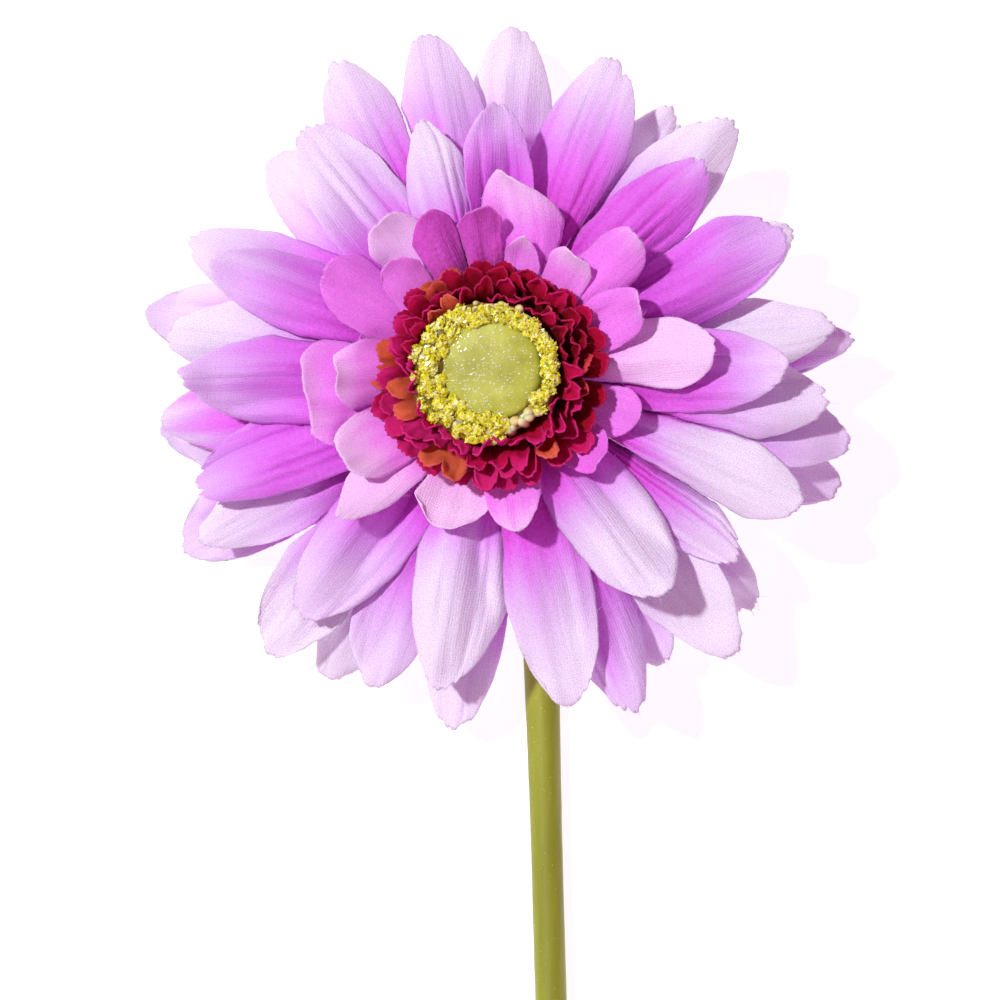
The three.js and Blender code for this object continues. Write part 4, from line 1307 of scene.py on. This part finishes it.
# A bract from its foot to its point, as radius, height and half width.
BRACT = [(4.4, -7.9, 0.7), (5.8, -6.4, 1.0), (7.0, -5.0, 1.2), (8.0, -3.6, 1.15), (8.9, -2.3, 1.0),
         (9.8, -1.5, 0.6), (10.6, -1.0, 0.12)]


def add_bract(points, faces, bearing):
    outward, aside = bearing_frame(bearing)
    faces += sheet_faces(len(BRACT), BRACT_COLUMNS, len(points))
    for depth in (0, BRACT_THICK):
        for radius, up, half in BRACT:
            for j in range(BRACT_COLUMNS):
                v = -1 + 2 * j / (BRACT_COLUMNS - 1)
                rib = 0.16 * math.exp(-(v / 0.22) ** 2) if depth else 0
                out = depth * (1 - 0.45 * v * v) * 0.7 + rib
                points.append(outward * (radius + out) + aside * half * v + UP * (up - out))


points, faces = [], []
turned(points, faces, CUP, TURNED_SIDES, closed=True)
for i in range(BRACTS):
    add_bract(points, faces, 360 / BRACTS * i)
make_piece("green_calyx", placed(points), faces, STEM_PLASTIC, ["calyx"])

# %% [markdown]
# ## The stem
# The stem is a plastic sheath drawn over a steel wire. It comes out of the calyx, bends at the
# neck as far as the wire allows, and runs along the table in a slow bow, a little thinner past
# the head. A tube swept along the same curves as the construction gives it. Two faint mould lines
# and a slightly uneven skin keep it from looking drawn with a ruler.

# %% The stem's line
LEG = Vector((2.6, -9, 0))
STEM_LENGTH = 281
BOW_ASIDE, CUT_ASIDE = 6.6, 19  # how far right of the head the stem runs, halfway and at its cut
BOW_PLACE = 0.55
SOCKET_STEPS, NECK_STEPS, RUN_STEPS = 4, 20, 110  # points of the line in each of its stretches
FLATS = math.cos(math.pi / 12)  # the solid stem has twelve flats, a little nearer than its radius
axis = (HEAD.to_3x3() @ UP).normalized()
low = NECK_RADIUS * FLATS
shoulder = HUB + axis * (SHOULDER - 0.3)
neck = HUB - axis * CALYX_DEPTH
corner = HUB + axis * ((low - HUB_HEIGHT) / axis.z)
bend_end = corner + LEG
run = [
    bend_end,
    bend_end + LEG * 1.5,
    Vector((HUB.x + BOW_ASIDE, bend_end.y - STEM_LENGTH * BOW_PLACE, low)),
    Vector((HUB.x + CUT_ASIDE, bend_end.y - STEM_LENGTH, low)),
]


def curve_point(controls, t):
    """A point on the curve of these control points, by folding them pair by pair."""
    while len(controls) > 1:
        controls = [a.lerp(b, t) for a, b in zip(controls, controls[1:])]
    return controls[0]


line = [shoulder.lerp(neck, i / SOCKET_STEPS) for i in range(SOCKET_STEPS)]
line += [curve_point([neck, corner, bend_end], i / NECK_STEPS) for i in range(NECK_STEPS)]
line += [curve_point(run, i / RUN_STEPS) for i in range(RUN_STEPS + 1)]
way = [0.0]
for here, there in zip(line, line[1:]):
    way.append(way[-1] + (there - here).length)
print("stem:", round(way[-1]), "mm along its line")

# %% Sheath, spike and wire
BORE = 1.4  # radius of the hole for the wire
BORE_STEPS = 4  # how many points of the line it reaches in from the cut end
SPIKE = [(0, SHOULDER - 1), (1.5, SHOULDER - 1), (1.5, SHOULDER), (1.05, 13.2), (0.8, 13.6), (0, 13.6)]
SHEATH_SIDES, SPIKE_SIDES, WIRE_SIDES = 48, 24, 20
WIRE_RADIUS = 1.0
WIRE_FROM = 10  # the point of the line where the wire begins


def stem_radius(share):
    return CUT_RADIUS + (NECK_RADIUS - CUT_RADIUS) * (1 - smooth(share, 0.1, 0.3))


def middle_at(k):
    """A point of the line, lowered so that the thinner stem still lies on the table."""
    return line[k] - UP * (NECK_RADIUS - stem_radius(way[k] / way[-1])) * FLATS


def swept(points, faces, first, radius_at, sides, hollow=0.0):
    """A tube along the stem's line from a point on, closed at both ends or bored at the last one."""
    angles = [2 * math.pi * side / sides for side in range(sides)]
    rings = []
    for k in range(first, len(line)):
        tangent = (line[min(k + 1, len(line) - 1)] - line[max(k - 1, 0)]).normalized()
        across = (EAST - tangent * tangent.x).normalized()
        above = tangent.cross(across)
        radii = [radius_at(way[k] / way[-1], angle) for angle in angles]
        rings.append([middle_at(k) + (across * math.cos(angle) + above * math.sin(angle)) * radius
                      for angle, radius in zip(angles, radii)])
    if hollow:
        for k in (len(line) - 1, len(line) - 1 - BORE_STEPS):
            rings.append(spots_round(middle_at(k), across * hollow, above * hollow, sides))
    loft(points, faces, rings)


def sheath_radius(share, angle):
    seam = 0.09 * math.exp(-(math.sin(angle) / 0.09) ** 2)
    uneven = 0.05 * noise.noise(Vector((share * 70, math.cos(angle), math.sin(angle))))
    return stem_radius(share) * 0.985 + seam + uneven


points, faces = [], []
turned(points, faces, SPIKE, SPIKE_SIDES)
points = placed(points)
swept(points, faces, 0, sheath_radius, SHEATH_SIDES, hollow=BORE)
make_piece("green_stem", points, faces, STEM_PLASTIC, ["stem"])

WIRE_STEEL = clouded("wire_steel", (900, 3.0), [(0.35, (120, 118, 116)), (0.65, (176, 176, 178))],
                     (3000, 2.0, 0.00003), Metallic=1.0, Roughness=0.35)
points, faces = [], []
swept(points, faces, WIRE_FROM, lambda share, angle: WIRE_RADIUS, WIRE_SIDES)
make_piece("steel_wire", points, faces, WIRE_STEEL, ["stem_wire"])
